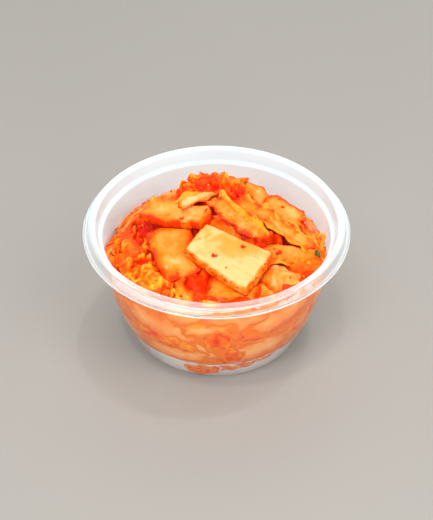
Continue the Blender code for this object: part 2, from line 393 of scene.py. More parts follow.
def stem(
    seed, size, cells, bend=(0.8, 0.8), taper=0.1, ragged=0.3, wavy=0.35, corner=0.06, ring=0.0, margins=(0, 0),
    slant=0.25, rim=2.0, relief=0.12,
    soft=0.0,
):
    """A cut piece of the thick white stem: flat, grooved lengthwise, with cut sides.

    Margins are the shares of its half width that turn into thin frilled leaf, on its two sides. Slant is how
    far the upper side is cut back, as a share of the thickness. Rim is how wide the stained border is,
    and soft how wide the part is that thins towards the border.
    """
    rng = np.random.default_rng(seed)
    length, width, thickness = size
    u, v = np.meshgrid(shares(cells[0]), shares(cells[1]), indexing="ij")
    x, y = outline(u, v, (length, width), seed, taper, ragged, corner)
    plan = np.stack([x, y], -1)
    leafy = np.zeros_like(x)
    for sign, margin in zip((-1, 1), margins):
        if margin:
            wave = 0.12 * noise_field(seed + 8, 7.0, 2, 1)(x[..., None])
            leafy = np.maximum(leafy, smoothstep((sign * v - 1 + margin + wave) / (0.6 * margin)))
    border = np.minimum((1 - np.abs(u)) * length / 2, (1 - np.abs(v)) * width / 2)
    full = 0.8 + 0.2 * smoothstep(border / (0.1 * thickness + 0.15)) ** 0.5
    middle = bend[0] * u**2 + bend[1] * v**2 + wavy * noise_field(seed + 2, 17.0, 2, 2)(plan)
    middle = middle + rng.uniform(-0.6, 0.6) * u * v * min(2.0, width / 9)
    middle = middle + leafy * (0.6 * noise_field(seed + 9, 7.0, 1, 2)(plan) - 0.25 * thickness)
    x = x + 0.4 * leafy * noise_field(seed + 10, 9.0, 1, 2)(plan)
    y = y + 0.4 * leafy * noise_field(seed + 11, 9.0, 1, 2)(plan)
    uneven = noise_field(seed + 3, 5.5, 3, 2)
    across = y[..., None] + 0.3 * np.sin(x[..., None] / 5.0) + 0.05 * x[..., None]
    if ring:
        lines = (0.5 + 0.5 * np.cos(2 * math.pi * np.hypot(x - 0.2 * length, y * 1.15) / ring)) ** 2
        fade = np.full_like(x, 0.9)
    else:
        lines = grooves(noise_field(seed + 4, 6.0, 3, 1)(across))
        fade = 0.45 + 0.7 * u * rng.choice([-1, 1]) + 0.4 * noise_field(seed + 6, 9.0, 2, 2)(plan)
        fade = np.clip(fade, 0.05, 1)
    raised = relief * uneven(plan) - GROOVE * lines * fade
    under = relief * uneven(plan + 31.0) - 0.6 * GROOVE * lines * fade
    thick = thickness * (1 - 0.24 * v**2 * min(1.0, width / 12)) / 2
    if soft:
        thick = thick * (0.2 + 0.8 * np.clip(border / soft, 0, 1) ** 0.85)
    thick = thick * (1 - leafy) + 0.45 * leafy
    cut_x, cut_y = slant * thickness * (1 - leafy) / length, slant * thickness * (1 - leafy) / width
    firm = 1 - 0.5 * leafy
    upper = np.stack([x * (1 - cut_x), y * (1 - cut_y), middle + thick * full + raised * firm], -1)
    lower = np.stack([x * (1 + cut_x), y * (1 + cut_y), middle - thick * full - under * firm], -1)
    edge = (1 - np.clip(border / rim, 0, 1)) ** 1.3
    return Sheet(upper, lower, edge, lines * fade, leafy, rng.uniform(), 0.10)


def leaf(seed, size, cells, bend=(1.5, 1.5), crumple=1.0, frill=0.5, thickness=0.9, taper=-0.05):
    """A piece of the thin leaf: softly folded, puffed between its veins and frilled towards its border."""
    rng = np.random.default_rng(seed)
    length, width = size
    u, v = np.meshgrid(shares(cells[0], False), shares(cells[1], False), indexing="ij")
    x, y = outline(u, v, (length, width), seed, taper, 0.8, 0.25)
    plan = np.stack([x, y], -1)
    border = np.maximum(np.abs(u), np.abs(v))
    broad = noise_field(seed + 2, 14.0, 1, 2)(plan)
    phase = (y + 0.2 * x) * math.pi / PLEAT + 1.7 * noise_field(seed + 3, 11.0, 2, 2)(plan)
    pleats = np.arcsin(0.96 * np.sin(phase)) * 2 / math.pi
    crossing = (x - 0.5 * y) * math.pi / (1.7 * PLEAT) + 2.0 * noise_field(seed + 7, 9.0, 2, 2)(plan)
    creases = np.arcsin(0.96 * np.sin(crossing)) * 2 / math.pi
    strength = 0.65 + 0.5 * noise_field(seed + 12, 10.0, 1, 2)(plan)
    frills = noise_field(seed + 4, 3.2, 2, 2)(plan)
    z = bend[0] * u**2 + bend[1] * v**2 + 1.1 * crumple * broad
    z = z + crumple * strength * (1.1 * pleats + 0.6 * creases)
    z = z + frill * frills * (0.05 + 0.9 * border**5)
    y = y + 0.7 * crumple * strength * np.cos(phase)
    x = x + 0.8 * crumple * noise_field(seed + 5, 7.0, 2, 2)(plan) * border
    y = y + 0.8 * crumple * noise_field(seed + 6, 7.0, 2, 2)(plan) * border
    middle = np.stack([x, y, z], -1)
    # How low a point lies in its folds: the colour paints hollows redder and ridges paler, partly sauce gathered in the
    # hollows, partly painted shade and painted highlight.
    cavity = np.clip(0.5 + 0.55 * (smoothed(z, 24) - z), 0, 1)
    along = np.gradient(middle, axis=0)
    over = np.gradient(middle, axis=1)
    normal = np.cross(along, over)
    normal /= np.linalg.norm(normal, axis=-1, keepdims=True) + 1e-9
    rib = np.clip(1 - np.abs(v + 0.15 * np.sin(2 * u)) / 0.16, 0, 1)
    full = 0.55 + 0.45 * np.clip((1 - border) * 6, 0, 1)
    half = (thickness / 2 * full * (1 + 0.6 * rib))[..., None]
    return Sheet(middle + normal * half, middle - normal * half, border**3, cavity, np.ones_like(x), rng.uniform())


# ---------------------------------------------------------------------------------------------------------
# Settling a piece on a height map, under a ceiling


def settled(sheet, ground, ceiling, sag=0.55, sink=0.35, most_sag=2.2, press_gap=0.12):
    """Lets a placed piece down on the ground and bends it to it, then presses it below the ceiling."""
    x, y = sheet.lower[..., 0], sheet.lower[..., 1]
    need = ground.read(x, y) - sheet.lower[..., 2]
    need = need - np.quantile(need, 0.72)
    drop = np.quantile(ground.read(x, y) - sheet.lower[..., 2], 0.72)
    bend = np.where(need > 0, need, np.clip(need * sag, -most_sag, 0))
    lift = drop - sink + smoothed(bend, 7)
    sheet.upper[..., 2] += lift
    sheet.lower[..., 2] += lift
    pressed(sheet, ceiling, press_gap)
    return sheet


def pressed(sheet, ceiling, gap=0.12, rounds=4):
    """Bends the piece down wherever its upper side would reach through the ceiling."""
    for _ in range(2):
        x, y = sheet.upper[..., 0], sheet.upper[..., 1]
        over = np.maximum(sheet.upper[..., 2] + gap - ceiling.read(x, y), 0)
        if over.max() <= 0:
            return
        push = np.maximum(smoothed(over, rounds), over * 0.9)
        sheet.upper[..., 2] -= push
        sheet.lower[..., 2] -= push


def within_wall(sheet, gap=0.15):
    """Pulls in what would reach through the wall of the bowl."""
    for side in (sheet.upper, sheet.lower):
        reach = np.hypot(side[..., 0], side[..., 1])
        most = side_radius(side[..., 2]) - gap
        share = np.minimum(1.0, most / np.maximum(reach, 1e-6))
        side[..., 0] *= share
        side[..., 1] *= share


def piece_matrix(at, turn):
    """The piece's place: yaw about the vertical, then the rise along its length and across its width."""
    yaw, rise, roll = (math.radians(a) for a in turn)
    turned = Matrix.Rotation(yaw, 4, "Z") @ Matrix.Rotation(-rise, 4, "Y") @ Matrix.Rotation(roll, 4, "X")
    return Matrix.Translation(Vector(at)) @ turned


def curled(sheet, radius, start):
    """Rolls the flat piece's end round an axis across it, from start on, as a thin strip curls."""
    for side in (sheet.upper, sheet.lower):
        straight = np.minimum(side[..., 0], start)
        turn = (side[..., 0] - straight) / radius
        reach = radius - side[..., 2]
        side[..., 0], side[..., 2] = straight + reach * np.sin(turn), radius - reach * np.cos(turn)
    return sheet


# ---------------------------------------------------------------------------------------------------------
# Meshes and node materials


def mesh_object(name, points, quads, looks, nodes=(), values=None, caps=()):
    """One visible piece: a mesh in metres with its materials, its point values and its place in the frame."""
    mesh = bpy.data.meshes.new(name)
    mesh.vertices.add(len(points))
    mesh.vertices.foreach_set("co", (np.asarray(points) * MM).astype(np.float32).ravel())
    corners = np.concatenate([np.ravel(quads), np.ravel(caps)]).astype(np.int32)
    starts = np.concatenate([np.arange(len(quads)) * 4, len(quads) * 4 + np.arange(len(caps)) * 3])
    mesh.loops.add(len(corners))
    mesh.loops.foreach_set("vertex_index", corners)
    mesh.polygons.add(len(starts))
    mesh.polygons.foreach_set("loop_start", starts.astype(np.int32))
    mesh.update(calc_edges=True)
    for key, value in (values or {}).items():
        mesh.attributes.new(key, "FLOAT", "POINT").data.foreach_set("value", np.asarray(value, np.float32))
    for look in looks:
        mesh.materials.append(look)
    mesh.shade_smooth()
    made = bpy.data.objects.new(name, mesh)
    bpy.context.scene.collection.objects.link(made)
    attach(made, "root")
    if nodes:
        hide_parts(*nodes)
    return made


def sheets_object(name, sheets, look, nodes=(), depth=None):
    """Joins the meshes of several pieces of one kind into one object. Depth says how deep points lie, 0 to 1."""
    points, quads, values = [], [], []
    start = 0
    for sheet in sheets:
        p, q, some = sheet.mesh()
        points.append(p)
        quads.append(q + start)
        values.append(some)
        start += len(p)
    points = np.concatenate(points)
    joined = {key: np.concatenate([some[key] for some in values]) for key in values[0]}
    joined["sunk"] = depth(points) if depth else np.zeros(len(points))
    return mesh_object(name, points, np.concatenate(quads), [look], nodes, joined)


class Look:
    """A node material under way. Every call adds a node and gives back its output."""

    def __init__(self, name):
        self.material = bpy.data.materials.new(name)
        self.material.use_nodes = True
        self.tree = self.material.node_tree
        self.tree.nodes.clear()
        self.place = None

    def node(self, kind, inputs=(), output=0, **settings):
        made = self.tree.nodes.new("ShaderNode" + kind)
        for key, value in settings.items():
            setattr(made, key, value)
        for key, value in dict(inputs).items():
            socket = made.inputs[key]
            if isinstance(value, bpy.types.NodeSocket):
                self.tree.links.new(value, socket)
            else:
                socket.default_value = value
        return made.outputs[output]

    def noise(self, size, detail=2.0, stretch=None, rough=0.5, warp=0.0):
        """Noise from 0 to 1 whose blobs are about size millimetres."""
        place = self.node("TexCoord", output="Object")
        if stretch:
            place = self.node("Mapping", {"Vector": place, "Scale": stretch})
        inputs = {"Vector": place, "Scale": 500.0 / size, "Detail": detail, "Roughness": rough}
        return self.node("TexNoise", {**inputs, "Distortion": warp})

    def value(self, name):
        return self.node("Attribute", output="Fac", attribute_name=name)

    def math(self, operation, a, b=0.0, clamp=False):
        return self.node("Math", {0: a, 1: b}, operation=operation, use_clamp=clamp)

    def ranged(self, value, low, high, to_low=0.0, to_high=1.0):
        inputs = {"Value": value, "From Min": low, "From Max": high, "To Min": to_low, "To Max": to_high}
        return self.node("MapRange", inputs)

    def mix(self, share, a, b, blend="MIX"):
        def four(colour):
            return colour if isinstance(colour, bpy.types.NodeSocket) else (*colour, 1.0)

        return self.node("Mix", {0: share, 6: four(a), 7: four(b)}, 2, data_type="RGBA", blend_type=blend)

    def ramp(self, share, stops):
        out = self.node("ValToRGB", {"Fac": share})
        ramp = out.node.color_ramp
        while len(ramp.elements) < len(stops):
            ramp.elements.new(0.5)
        for element, (position, colour) in zip(ramp.elements, stops):
            element.position = position
            element.color = (*colour, 1.0)
        return out

    def bump(self, height, distance, strength=1.0):
        return self.node("Bump", {"Height": height, "Distance": distance * MM, "Strength": strength})

    def finish(self, shader):
        self.node("OutputMaterial", {"Surface": shader}) if False else None
        out = self.tree.nodes.new("ShaderNodeOutputMaterial")
        self.tree.links.new(shader, out.inputs["Surface"])
        return self.material


# ---------------------------------------------------------------------------------------------------------
# The materials


# Painted: a cool tint on the bowl's skin near the food, against the orange light the food throws on it.
NEAR_FOOD_PAINTED_TINT = (0.58, 0.9, 1.0)


def clear_plastic(name, roughness, tint, hazed_and_painted=True):
    """Clear moulded plastic. The milk value is how hazy its skin is; where the skin is whiter on the
    bare wall, at the back of the rim, along the crease and on the lip, it is painted light. Lamps shine through it
    onto the food.

    The bare value is highest just above the food, where the skin is painted with a cool tint against the orange light
    from it.
    """
    look = Look(name)
    if hazed_and_painted:
        tint = look.ramp(look.value("bare"), [(0.0, (1.0, 0.985, 0.96)), (0.5, tint), (1.0, NEAR_FOOD_PAINTED_TINT)])
    else:
        tint = (*tint, 1.0)
    fine = look.noise(9.0, 3.0)
    bump = look.bump(fine, 0.03, 0.15)
    inputs = {
        "Base Color": tint,
        "Roughness": roughness,
        "IOR": 1.5,
        "Transmission Weight": look.math("SUBTRACT", 1.0, look.value("milk")) if hazed_and_painted else 1.0,
        "Normal": bump,
    }
    plastic = look.node("BsdfPrincipled", inputs)
    if hazed_and_painted:
        glow = look.node("BsdfTranslucent", {"Color": (1.0, 1.0, 1.0, 1.0), "Normal": bump})
        through = look.math("MULTIPLY", look.value("bare"), GLOW_SHARE)
        plastic = look.node("MixShader", {0: through, 1: plastic, 2: glow})
    lit = look.node("BsdfTransparent", {"Color": (0.98, 0.98, 0.98, 1.0)})
    shadow = look.node("LightPath", output="Is Shadow Ray")
    return look.finish(look.node("MixShader", {0: shadow, 1: plastic, 2: lit}))


def wet(look, colour, bump, roughness, soft=0.25, deep=2.5, shine=0.3):
    """The shader of all the kimchi: translucent and wet."""
    inputs = {
        "Base Color": colour,
        "Roughness": roughness,
        "Subsurface Weight": soft,
        "Subsurface Radius": (1.0, 0.42, 0.12),
        "Subsurface Scale": deep * MM,
        "IOR": 1.36,
        "Specular IOR Level": shine,
        "Normal": bump,
    }
    return look.finish(look.node("BsdfPrincipled", inputs))


PEACH = (0.88, 0.46, 0.18)
BUTTER = (0.88, 0.32, 0.055)
AMBER = (0.87, 0.20, 0.006)
ORANGE = (0.84, 0.10, 0.002)
RED = (0.76, 0.038, 0.001)
DEEP_RED = (0.68, 0.012, 0.001)
STEM_RAMP = [(0.0, PEACH), (0.2, BUTTER), (0.5, AMBER), (0.8, ORANGE), (1.0, RED)]
LEAF_RAMP = [(0.0, (0.88, 0.32, 0.018)), (0.22, (0.87, 0.20, 0.005)), (0.45, (0.84, 0.10, 0.002)), (0.75, RED), (1.0, DEEP_RED)]


def leaf_stain(look, redness):
    """How red a leaf is at each point, 0 to 1: blotches; redder in the hollows of its folds and paler on their
    ridges, partly sauce and partly painted shade and painted highlight; and redder the deeper it lies, which is painted
    shade.
    """
    broad = look.noise(6.0, 2.0, warp=0.8)
    blotches = look.noise(3.0, 3.0, warp=1.6, rough=0.55)
    red = look.math("ADD", look.ranged(broad, 0.3, 0.72, -0.15, 0.35), redness)
    red = look.math("ADD", red, look.ranged(look.value("tone"), 0.0, 1.0, -0.1, 0.15))
    red = look.math("ADD", red, look.ranged(blotches, 0.35, 0.7, -0.14, 0.2))
    # Redder in the hollows of the folds and paler on the ridges: partly sauce, partly painted shade and painted
    # highlight.
    red = look.math("ADD", red, look.ranged(look.value("vein"), 0.1, 1.0, -0.18, 0.62))
    # Redder the deeper the point lies in the heap: painted shade.
    return look.math("ADD", red, look.math("MULTIPLY", look.value("sunk"), 0.45))


def stem_look(name, paleness, pinkness=0.0, edging=0.62, blotched=1.0):
    """Cut white stem soaked in sauce: pale on its face, orange on its cut sides, red where it lies deep, which is
    painted shade.
    """
    look = Look(name)
    edge, vein, tone = look.value("edge"), look.value("vein"), look.value("tone")
    broad = look.noise(9.0, 2.0, warp=0.6)
    patches = look.noise(3.0, 3.0, warp=0.8)
    specks = look.noise(0.8, 2.0, rough=0.6)
    ragged_edge = look.math("MULTIPLY", edge, look.ranged(patches, 0.3, 0.7, 0.45, 1.25))
    stained = look.math("ADD", look.math("MULTIPLY", ragged_edge, edging), -paleness)
    stained = look.math("ADD", stained, look.ranged(broad, 0.35, 0.8, -0.05 - 0.07 * blotched, 0.42 + 0.05 * blotched))
    stained = look.math("ADD", stained, look.ranged(tone, 0.0, 1.0, -0.06, 0.30))
    stained = look.math("ADD", stained, look.ranged(patches, 0.35, 0.7, -0.05 - 0.09 * blotched, 0.12 + 0.16 * blotched))
    # Redder where the point lies deep in the heap or behind the wall: painted shade.
    stained = look.math("ADD", stained, look.math("MULTIPLY", look.value("sunk"), 0.38))
    colour = look.ramp(stained, STEM_RAMP)
    darker = look.math("MULTIPLY", vein, 0.55 + 0.2 * blotched)
    colour = look.mix(darker, colour, look.mix(1.0, colour, (0.93, 0.60, 0.28), "MULTIPLY"))
    speckled = look.math("MULTIPLY", look.ranged(specks, 0.52, 0.6), look.ranged(edge, 0.55, 1.5, 0.22 * blotched, 1.0))
    colour = look.mix(look.math("MULTIPLY", speckled, 0.9), colour, (0.70, 0.03, 0.001))
    if pinkness:
        share = look.ranged(look.value("sunk"), 0.1, 0.7, pinkness, 0.0)
        colour = look.mix(share, colour, (0.88, 0.42, 0.15))
    leaf_colour = look.ramp(leaf_stain(look, 0.0), LEAF_RAMP)
    colour = look.mix(look.value("leafy"), colour, leaf_colour)
    fine = look.noise(0.9, 3.0, rough=0.6)
    coarse = look.noise(2.6, 2.0)
    height = look.math("ADD", look.math("MULTIPLY", fine, 0.5), coarse)
    height = look.math("MULTIPLY", height, look.ranged(edge, 0.8, 1.6, 0.28, 2.0))
    rough = look.ranged(patches, 0.35, 0.7, 0.28, 0.08)
    return wet(look, colour, look.bump(height, 0.14), rough, 0.35, 1.3, 0.18)


def leaf_look(name, redness, speckled=0.7):
    """Soaked leaf: yellow-orange on the ridges of its folds and red in its hollows, partly sauce and partly painted
    highlight and painted shade; wet.
    """
    look = Look(name)
    colour = look.ramp(leaf_stain(look, redness), LEAF_RAMP)
    specks = look.ranged(look.noise(0.8, 2.0, rough=0.6), 0.54, 0.62)
    colour = look.mix(look.math("MULTIPLY", specks, speckled), colour, (0.66, 0.025, 0.001))
    fine = look.noise(0.7, 3.0, rough=0.65)
    coarse = look.noise(3.2, 2.0, warp=1.0)
    height = look.math("ADD", look.math("MULTIPLY", fine, 0.3), coarse)
    rough = look.ranged(coarse, 0.35, 0.65, 0.24, 0.07)
    return wet(look, colour, look.bump(height, 0.1), rough, 0.12, 0.7, 0.15)


def sauce_look():
    """The sauce between the pieces: orange-red and wet, with pulp in it."""
    look = Look("chilli_sauce")
    broad = look.noise(7.0, 3.0, warp=0.8)
    pulp = look.noise(1.3, 3.0, rough=0.6)
    mixed = look.math("ADD", look.ranged(broad, 0.3, 0.7, 0.0, 0.7), look.ranged(pulp, 0.35, 0.65, -0.1, 0.3))
    # Darker red where the sauce lies deep in the heap: painted shade.
    mixed = look.math("ADD", mixed, look.ranged(look.value("sunk"), 0.2, 0.9, 0.0, 0.7))
    colour = look.ramp(mixed, [(0.0, (0.84, 0.08, 0.001)), (0.4, (0.82, 0.05, 0.001)), (0.75, (0.72, 0.025, 0.001)), (1.0, (0.55, 0.012, 0.001))])
    specks = look.ranged(look.noise(0.9, 2.0, rough=0.6), 0.54, 0.62)
    colour = look.mix(look.math("MULTIPLY", specks, 0.6), colour, (0.58, 0.015, 0.001))
    colour = look.mix(look.math("MULTIPLY", look.value("side"), 0.85), colour, (0.86, 0.24, 0.02))
    height = look.math("ADD", look.math("MULTIPLY", look.noise(0.8, 3.0), 0.6), look.noise(2.4, 2.0))
    return wet(look, colour, look.bump(height, 0.25), look.ranged(pulp, 0.3, 0.7, 0.12, 0.34), 0.35, 2.5, 0.12)


def bit_look(name, dark, light, size=1.2):
    """Small solid bits: chilli flake, garlic, scallion."""
    look = Look(name)
    colour = look.mix(look.ranged(look.noise(size, 2.0), 0.35, 0.65), dark, light)
    return wet(look, colour, look.bump(look.noise(0.5, 2.0), 0.12), look.ranged(look.noise(1.0), 0.3, 0.7, 0.2, 0.4), 0.1, 0.8)


def floor_look():
    look = Look("pale_floor")
    grain = look.ranged(look.noise(260.0, 2.0), 0.3, 0.7)
    colour = look.mix(grain, (0.316, 0.297, 0.273), (0.324, 0.305, 0.280))
    return look.finish(look.node("BsdfPrincipled", {"Base Color": colour, "Roughness": 0.7, "Specular IOR Level": 0.2}))


# ---------------------------------------------------------------------------------------------------------
# The bowl


def skin_haze_and_painted_light(points):
    """How hazy the skin of the bowl is at its points, with painted light where it is whiter, and how bare of food the
    wall is there.
    """
    x, y, z = np.asarray(points).T
    angle = np.arctan2(y, x)
    bare = smoothstep((z - wall_contact(angle)) / 3.0)
    # Where the wall is bare above the food its skin is nearly white: partly haze, partly painted light standing in for
    # the bright surroundings.
    milk = HAZE + (BARE_HAZE_AND_PAINTED_LIGHT - HAZE) * bare
    rim = z > HEIGHT - LEDGE_DEPTH + 0.2
    # Painted light: the rim's skin is made whiter towards the back, standing in for the bright light seen through it
    # there.
    back = 0.5 + 0.5 * np.sin(angle)
    milk = np.where(rim, RIM_HAZE_FRONT + (RIM_BACK_PAINTED_LIGHT - RIM_HAZE_FRONT) * back, milk)
    milk = np.where(z < CREASE_HEIGHT - CREASE_STEP, FOOT_HAZE, milk)
    # A thin band along the crease step painted white: a painted highlight.
    crease_highlight_band = np.abs(z - CREASE_HEIGHT + CREASE_STEP / 2) < CREASE_STEP
    # The lip's lower edge painted white: a painted highlight in place of its dark edge.
    lip = (np.hypot(x, y) > RIM_RADIUS - LIP_WIDTH / 2) & (z < HEIGHT - LIP_DROP + 0.3)
    milk = np.where(lip, LIP_PAINTED_HIGHLIGHT, milk)
    # The near value weights the cool tint painted against the food's orange light; at the rim it grows towards the back
    # with the painted light there.
    near = bare * (0.45 + 0.55 * np.exp(-np.maximum(z - wall_contact(angle) - 2, 0) / 6.0))
    return np.where(crease_highlight_band, CREASE_PAINTED_HIGHLIGHT, milk), np.where(rim, 0.5 * back, near)


def make_bowl():
    """Turns the sheet's outline: the food side, a rounded lip, and the outer side half a millimetre out."""
    inner = np.array([tuple(p) for p in PROFILE])
    along = np.gradient(inner, axis=0)
    along /= np.linalg.norm(along, axis=1, keepdims=True)
    outward = np.stack([-along[:, 1], along[:, 0]], -1)
    outward[-1] = (0.0, -1.0)
    outer = inner + outward * SHEET
    outer[-1, 0] = 0.0
    middle = (inner[0] + outer[0]) / 2
    start = inner[0] - middle
    lip = []
    for k in range(1, 6):
        a = math.pi * k / 6
        turn = np.array([[math.cos(a), math.sin(a)], [-math.sin(a), math.cos(a)]])
        lip.append(middle + turn @ start)
    if lip[2][0] < middle[0]:
        lip = [2 * middle - p for p in lip[::-1]]
    outline = np.concatenate([inner[::-1], lip, outer])
    angles = 2 * math.pi * np.arange(BOWL_SEGMENTS) / BOWL_SEGMENTS
    ring = np.stack([np.cos(angles), np.sin(angles)], -1)
    points = np.concatenate(
        [np.concatenate([ring * r, np.full((BOWL_SEGMENTS, 1), z)], 1) for r, z in outline[1:-1]]
        + [[[0, 0, outline[0, 1]]], [[0, 0, outline[-1, 1]]]]
    )
    rows = len(outline) - 2
    faces, slots = [], []
    for row in range(rows - 1):
        for k in range(BOWL_SEGMENTS):
            on = (k + 1) % BOWL_SEGMENTS
            low, high = row * BOWL_SEGMENTS, (row + 1) * BOWL_SEGMENTS
            faces.append((low + k, high + k, high + on, low + on))
            within = row < len(inner) + len(lip)
            slots.append(0 if not within else 1 if outline[row + 1][1] < HEIGHT - LEDGE_DEPTH else 2)
    top, bottom, last = rows * BOWL_SEGMENTS, rows * BOWL_SEGMENTS + 1, (rows - 1) * BOWL_SEGMENTS
    for k in range(BOWL_SEGMENTS):
        on = (k + 1) % BOWL_SEGMENTS
        faces += [(top, k, on), (bottom, last + on, last + k)]
        slots += [1, 0]
    mesh = bpy.data.meshes.new("bowl_shell")
    mesh.from_pydata((points * MM).tolist(), [], faces)
    mesh.polygons.foreach_set("material_index", slots)
    for key, value in zip(("milk", "bare"), skin_haze_and_painted_light(points)):
        mesh.attributes.new(key, "FLOAT", "POINT").data.foreach_set("value", value.astype(np.float32))
    mesh.materials.append(clear_plastic("plastic_outside", 0.03, (1.0, 1.0, 1.0), False))
    # The cool tints of the inner skin and the rim are painted against the orange light from the food.
    mesh.materials.append(clear_plastic("plastic_inside", 0.12, (0.7, 0.95, 1.0)))
    mesh.materials.append(clear_plastic("plastic_rim", 0.06, (0.72, 0.92, 0.98)))
    mesh.shade_smooth()
    made = bpy.data.objects.new("bowl_shell", mesh)
    bpy.context.scene.collection.objects.link(made)
    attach(made, "root")
    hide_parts("bowl")
    return made


# ---------------------------------------------------------------------------------------------------------
# The core of the heap


def core_points(turns, lifts, skirt, filled=None):
    """The core: the mound a few millimetres down, sauce against the wall with hollows, and the base.

    With a map of how high the sauce fills the gaps, the top follows that map instead.
    """
    a, lift = np.meshgrid(2 * math.pi * np.arange(turns) / turns, lifts)
    contact = wall_contact(a) - 2.0
    top_radius = side_radius(contact) + INTO_WALL
    radius = top_radius * (1 - np.clip(lift, 0, 1))
    x, y = radius * np.cos(a), radius * np.sin(a)
    plan = np.stack([x, y], -1)
    bumps = 1.3 * noise_field(11, 9.0, 3, 2)(plan)
    low = np.clip((1 - np.clip(lift, 0, 1)) * 1.6 - 0.6, 0, 1)
    mound = mound_height(x, y) - dip_at(x, y, WALL_DIPS)
    z_top = mound - CORE_BELOW * (1 - 0.5 * low) + bumps * np.clip(lift * 6, 0, 1)
    z_top = np.minimum(z_top, skirt.read(x, y) - CORE_UNDER * (1 - 0.7 * low))
    if filled is not None:
        z_top = np.maximum(z_top, filled.read(x, y) * np.clip(lift * 20, 0, 1))
    fall = np.clip(-lift / 0.72, 0, 1)
    base = SHEET + PUSH_UP + 0.05
    edge = np.minimum(mound - CORE_BELOW * 0.5, skirt.read(x, y) - 0.3 * CORE_UNDER)
    z_side = edge + (base - edge) * fall**1.1
    side = side_radius(z_side) + INTO_WALL
    below = np.clip((CREASE_HEIGHT - 0.3 - z_side) / CREASE_HEIGHT, 0, 1)
    side = side - BASE_RETREAT * below - FOOT_GAP * smoothstep(below * 8)
    side = side * np.where(lift < -0.72, (1 + lift) / (1 - 0.72), 1.0)
    x = np.where(lift >= 0, x, side * np.cos(a))
    y = np.where(lift >= 0, y, side * np.sin(a))
    return np.stack([x, y, np.where(lift >= 0, z_top, z_side)], -1)


CORE_LIFTS = np.concatenate([np.linspace(0.995, 0, 100), np.linspace(-0.014, -0.995, 70)])


def make_core(look, skirt, filled, depth):
    turns, lifts = 288, CORE_LIFTS
    grid = core_points(turns, lifts, skirt, filled)
    rows = len(lifts)
    index = np.arange(rows * turns).reshape(rows, turns)
    on = np.roll(index, -1, axis=1)
    quads = np.stack([index[:-1], index[1:], on[1:], on[:-1]], -1).reshape(-1, 4)
    top, bottom = np.full(turns, rows * turns), np.full(turns, rows * turns + 1)
    caps = np.concatenate([np.stack([top, index[0], on[0]], -1), np.stack([index[-1], bottom, on[-1]], -1)])
    points = np.concatenate([grid.reshape(-1, 3), [grid[0].mean(0)], [grid[-1].mean(0)]])
    side = np.clip(1 - np.maximum(np.repeat(lifts, turns) * 8, 0), 0, 1)
    values = {"side": np.concatenate([side, [0.0, 1.0]]), "sunk": depth(points)}
    return mesh_object("sauce_core", points, quads, [look], ["kimchi_heap"], values, caps)


# ---------------------------------------------------------------------------------------------------------
# The big pieces, at the places of their CAD nodes, from the uppermost down

Big = namedtuple("Big", "size at turn cup arch ruffle look tone rim margins", defaults=[0.3, 2.0, (0, 0)])

BIG = {
    "stem_slab_centre": Big((33, 22, 6.6), (4.5, -23.0, 57.4), (148, 10, -15), 0.5, 0.5, 0, "clean", 0.05, 0.9),
    "leaf_top": Big((25, 15, 0.7), (0.0, 15.5, 67.9), (-12, 2, 10), -3.0, -2.5, 1.9, "red"),
    "stem_strip_top": Big((21, 8.5, 1.7), (-7.2, 6.4, 67.4), (24, 12, 8), 1.4, -1.0, 0, "pale", 0.2, 3.0, (0, 0.7)),
    "stem_strip_middle": Big((30, 11, 1.7), (9.6, -5.4, 63.6), (-40, -13, 8), 1.8, 1.0, 0, "amber", 0.4, 3.6, (0, 0.75)),
    "stem_slab_back_left": Big((30, 13, 5.8), (-17.0, -0.4, 60.6), (-24, 8, 7), 2.2, 1.6, 0, "rimmed", 0.35, 3.2),
    "stem_strip_right": Big((39, 9.5, 1.7), (25.2, -3.2, 59.6), (-29, -19, 8), 2.0, -1.2, 0, "amber", 0.65, 4.0, (0.45, 0.25)),
    "stem_slab_right": Big((19, 12, 1.7), (29.6, 5.0, 60.4), (-26, -14, 17), -1.2, -1.0, 0, "pale", 0.95, 2.6),
    "stem_strip_back": Big((21, 10, 1.6), (18.0, 11.4, 63.6), (-36, -13, 19), -1.4, -1.0, 0, "pale", 0.7, 2.4),
    "stem_slab_left": Big((29, 20, 3.2), (-18.2, -16.0, 55.8), (-74, -12, 19), 0.6, -1.0, 0, "pale", 0.5, 6.0),
    "leaf_right": Big((26, 12, 1.3), (33.0, -15.0, 54.6), (6, -14, 8), -3.2, -1.4, 0, "glossy", 0.3, 3.0, (0.25, 0)),
    "stem_fold_right": Big((21, 16, 2.4), (28.4, -29.0, 51.6), (-40, -7, 8), -3.4, -2.4, 0, "ringed", 0.25, 2.4),
    "stem_slab_front": Big((22, 14, 3.2), (7.0, -36.4, 49.4), (-14, -4, 12), 0.6, -0.6, 0, "pale", 1.2, 5.0),
    "stem_chunk_left": Big((22, 13, 0.8), (-29.0, -26.4, 51.2), (-44, 3, 10), -2.4, -2.4, 1.7, "yellow"),
    "leaf_left": Big((26, 17, 0.8), (-36.0, -3.4, 50.8), (80, 4, -16), -2.6, -2.4, 1.9, "orange"),
    "stem_slab_back": Big((28, 17, 3.4), (-14.0, 27.5, 54.4), (24, 2, -34), -1.6, -1.2, 0, "pale", 0.3, 5.0),
    "leaf_back": Big((25, 16, 0.8), (17.0, 28.0, 50.6), (-32, -3, -38), -2.0, -2.2, 1.5, "red"),
}

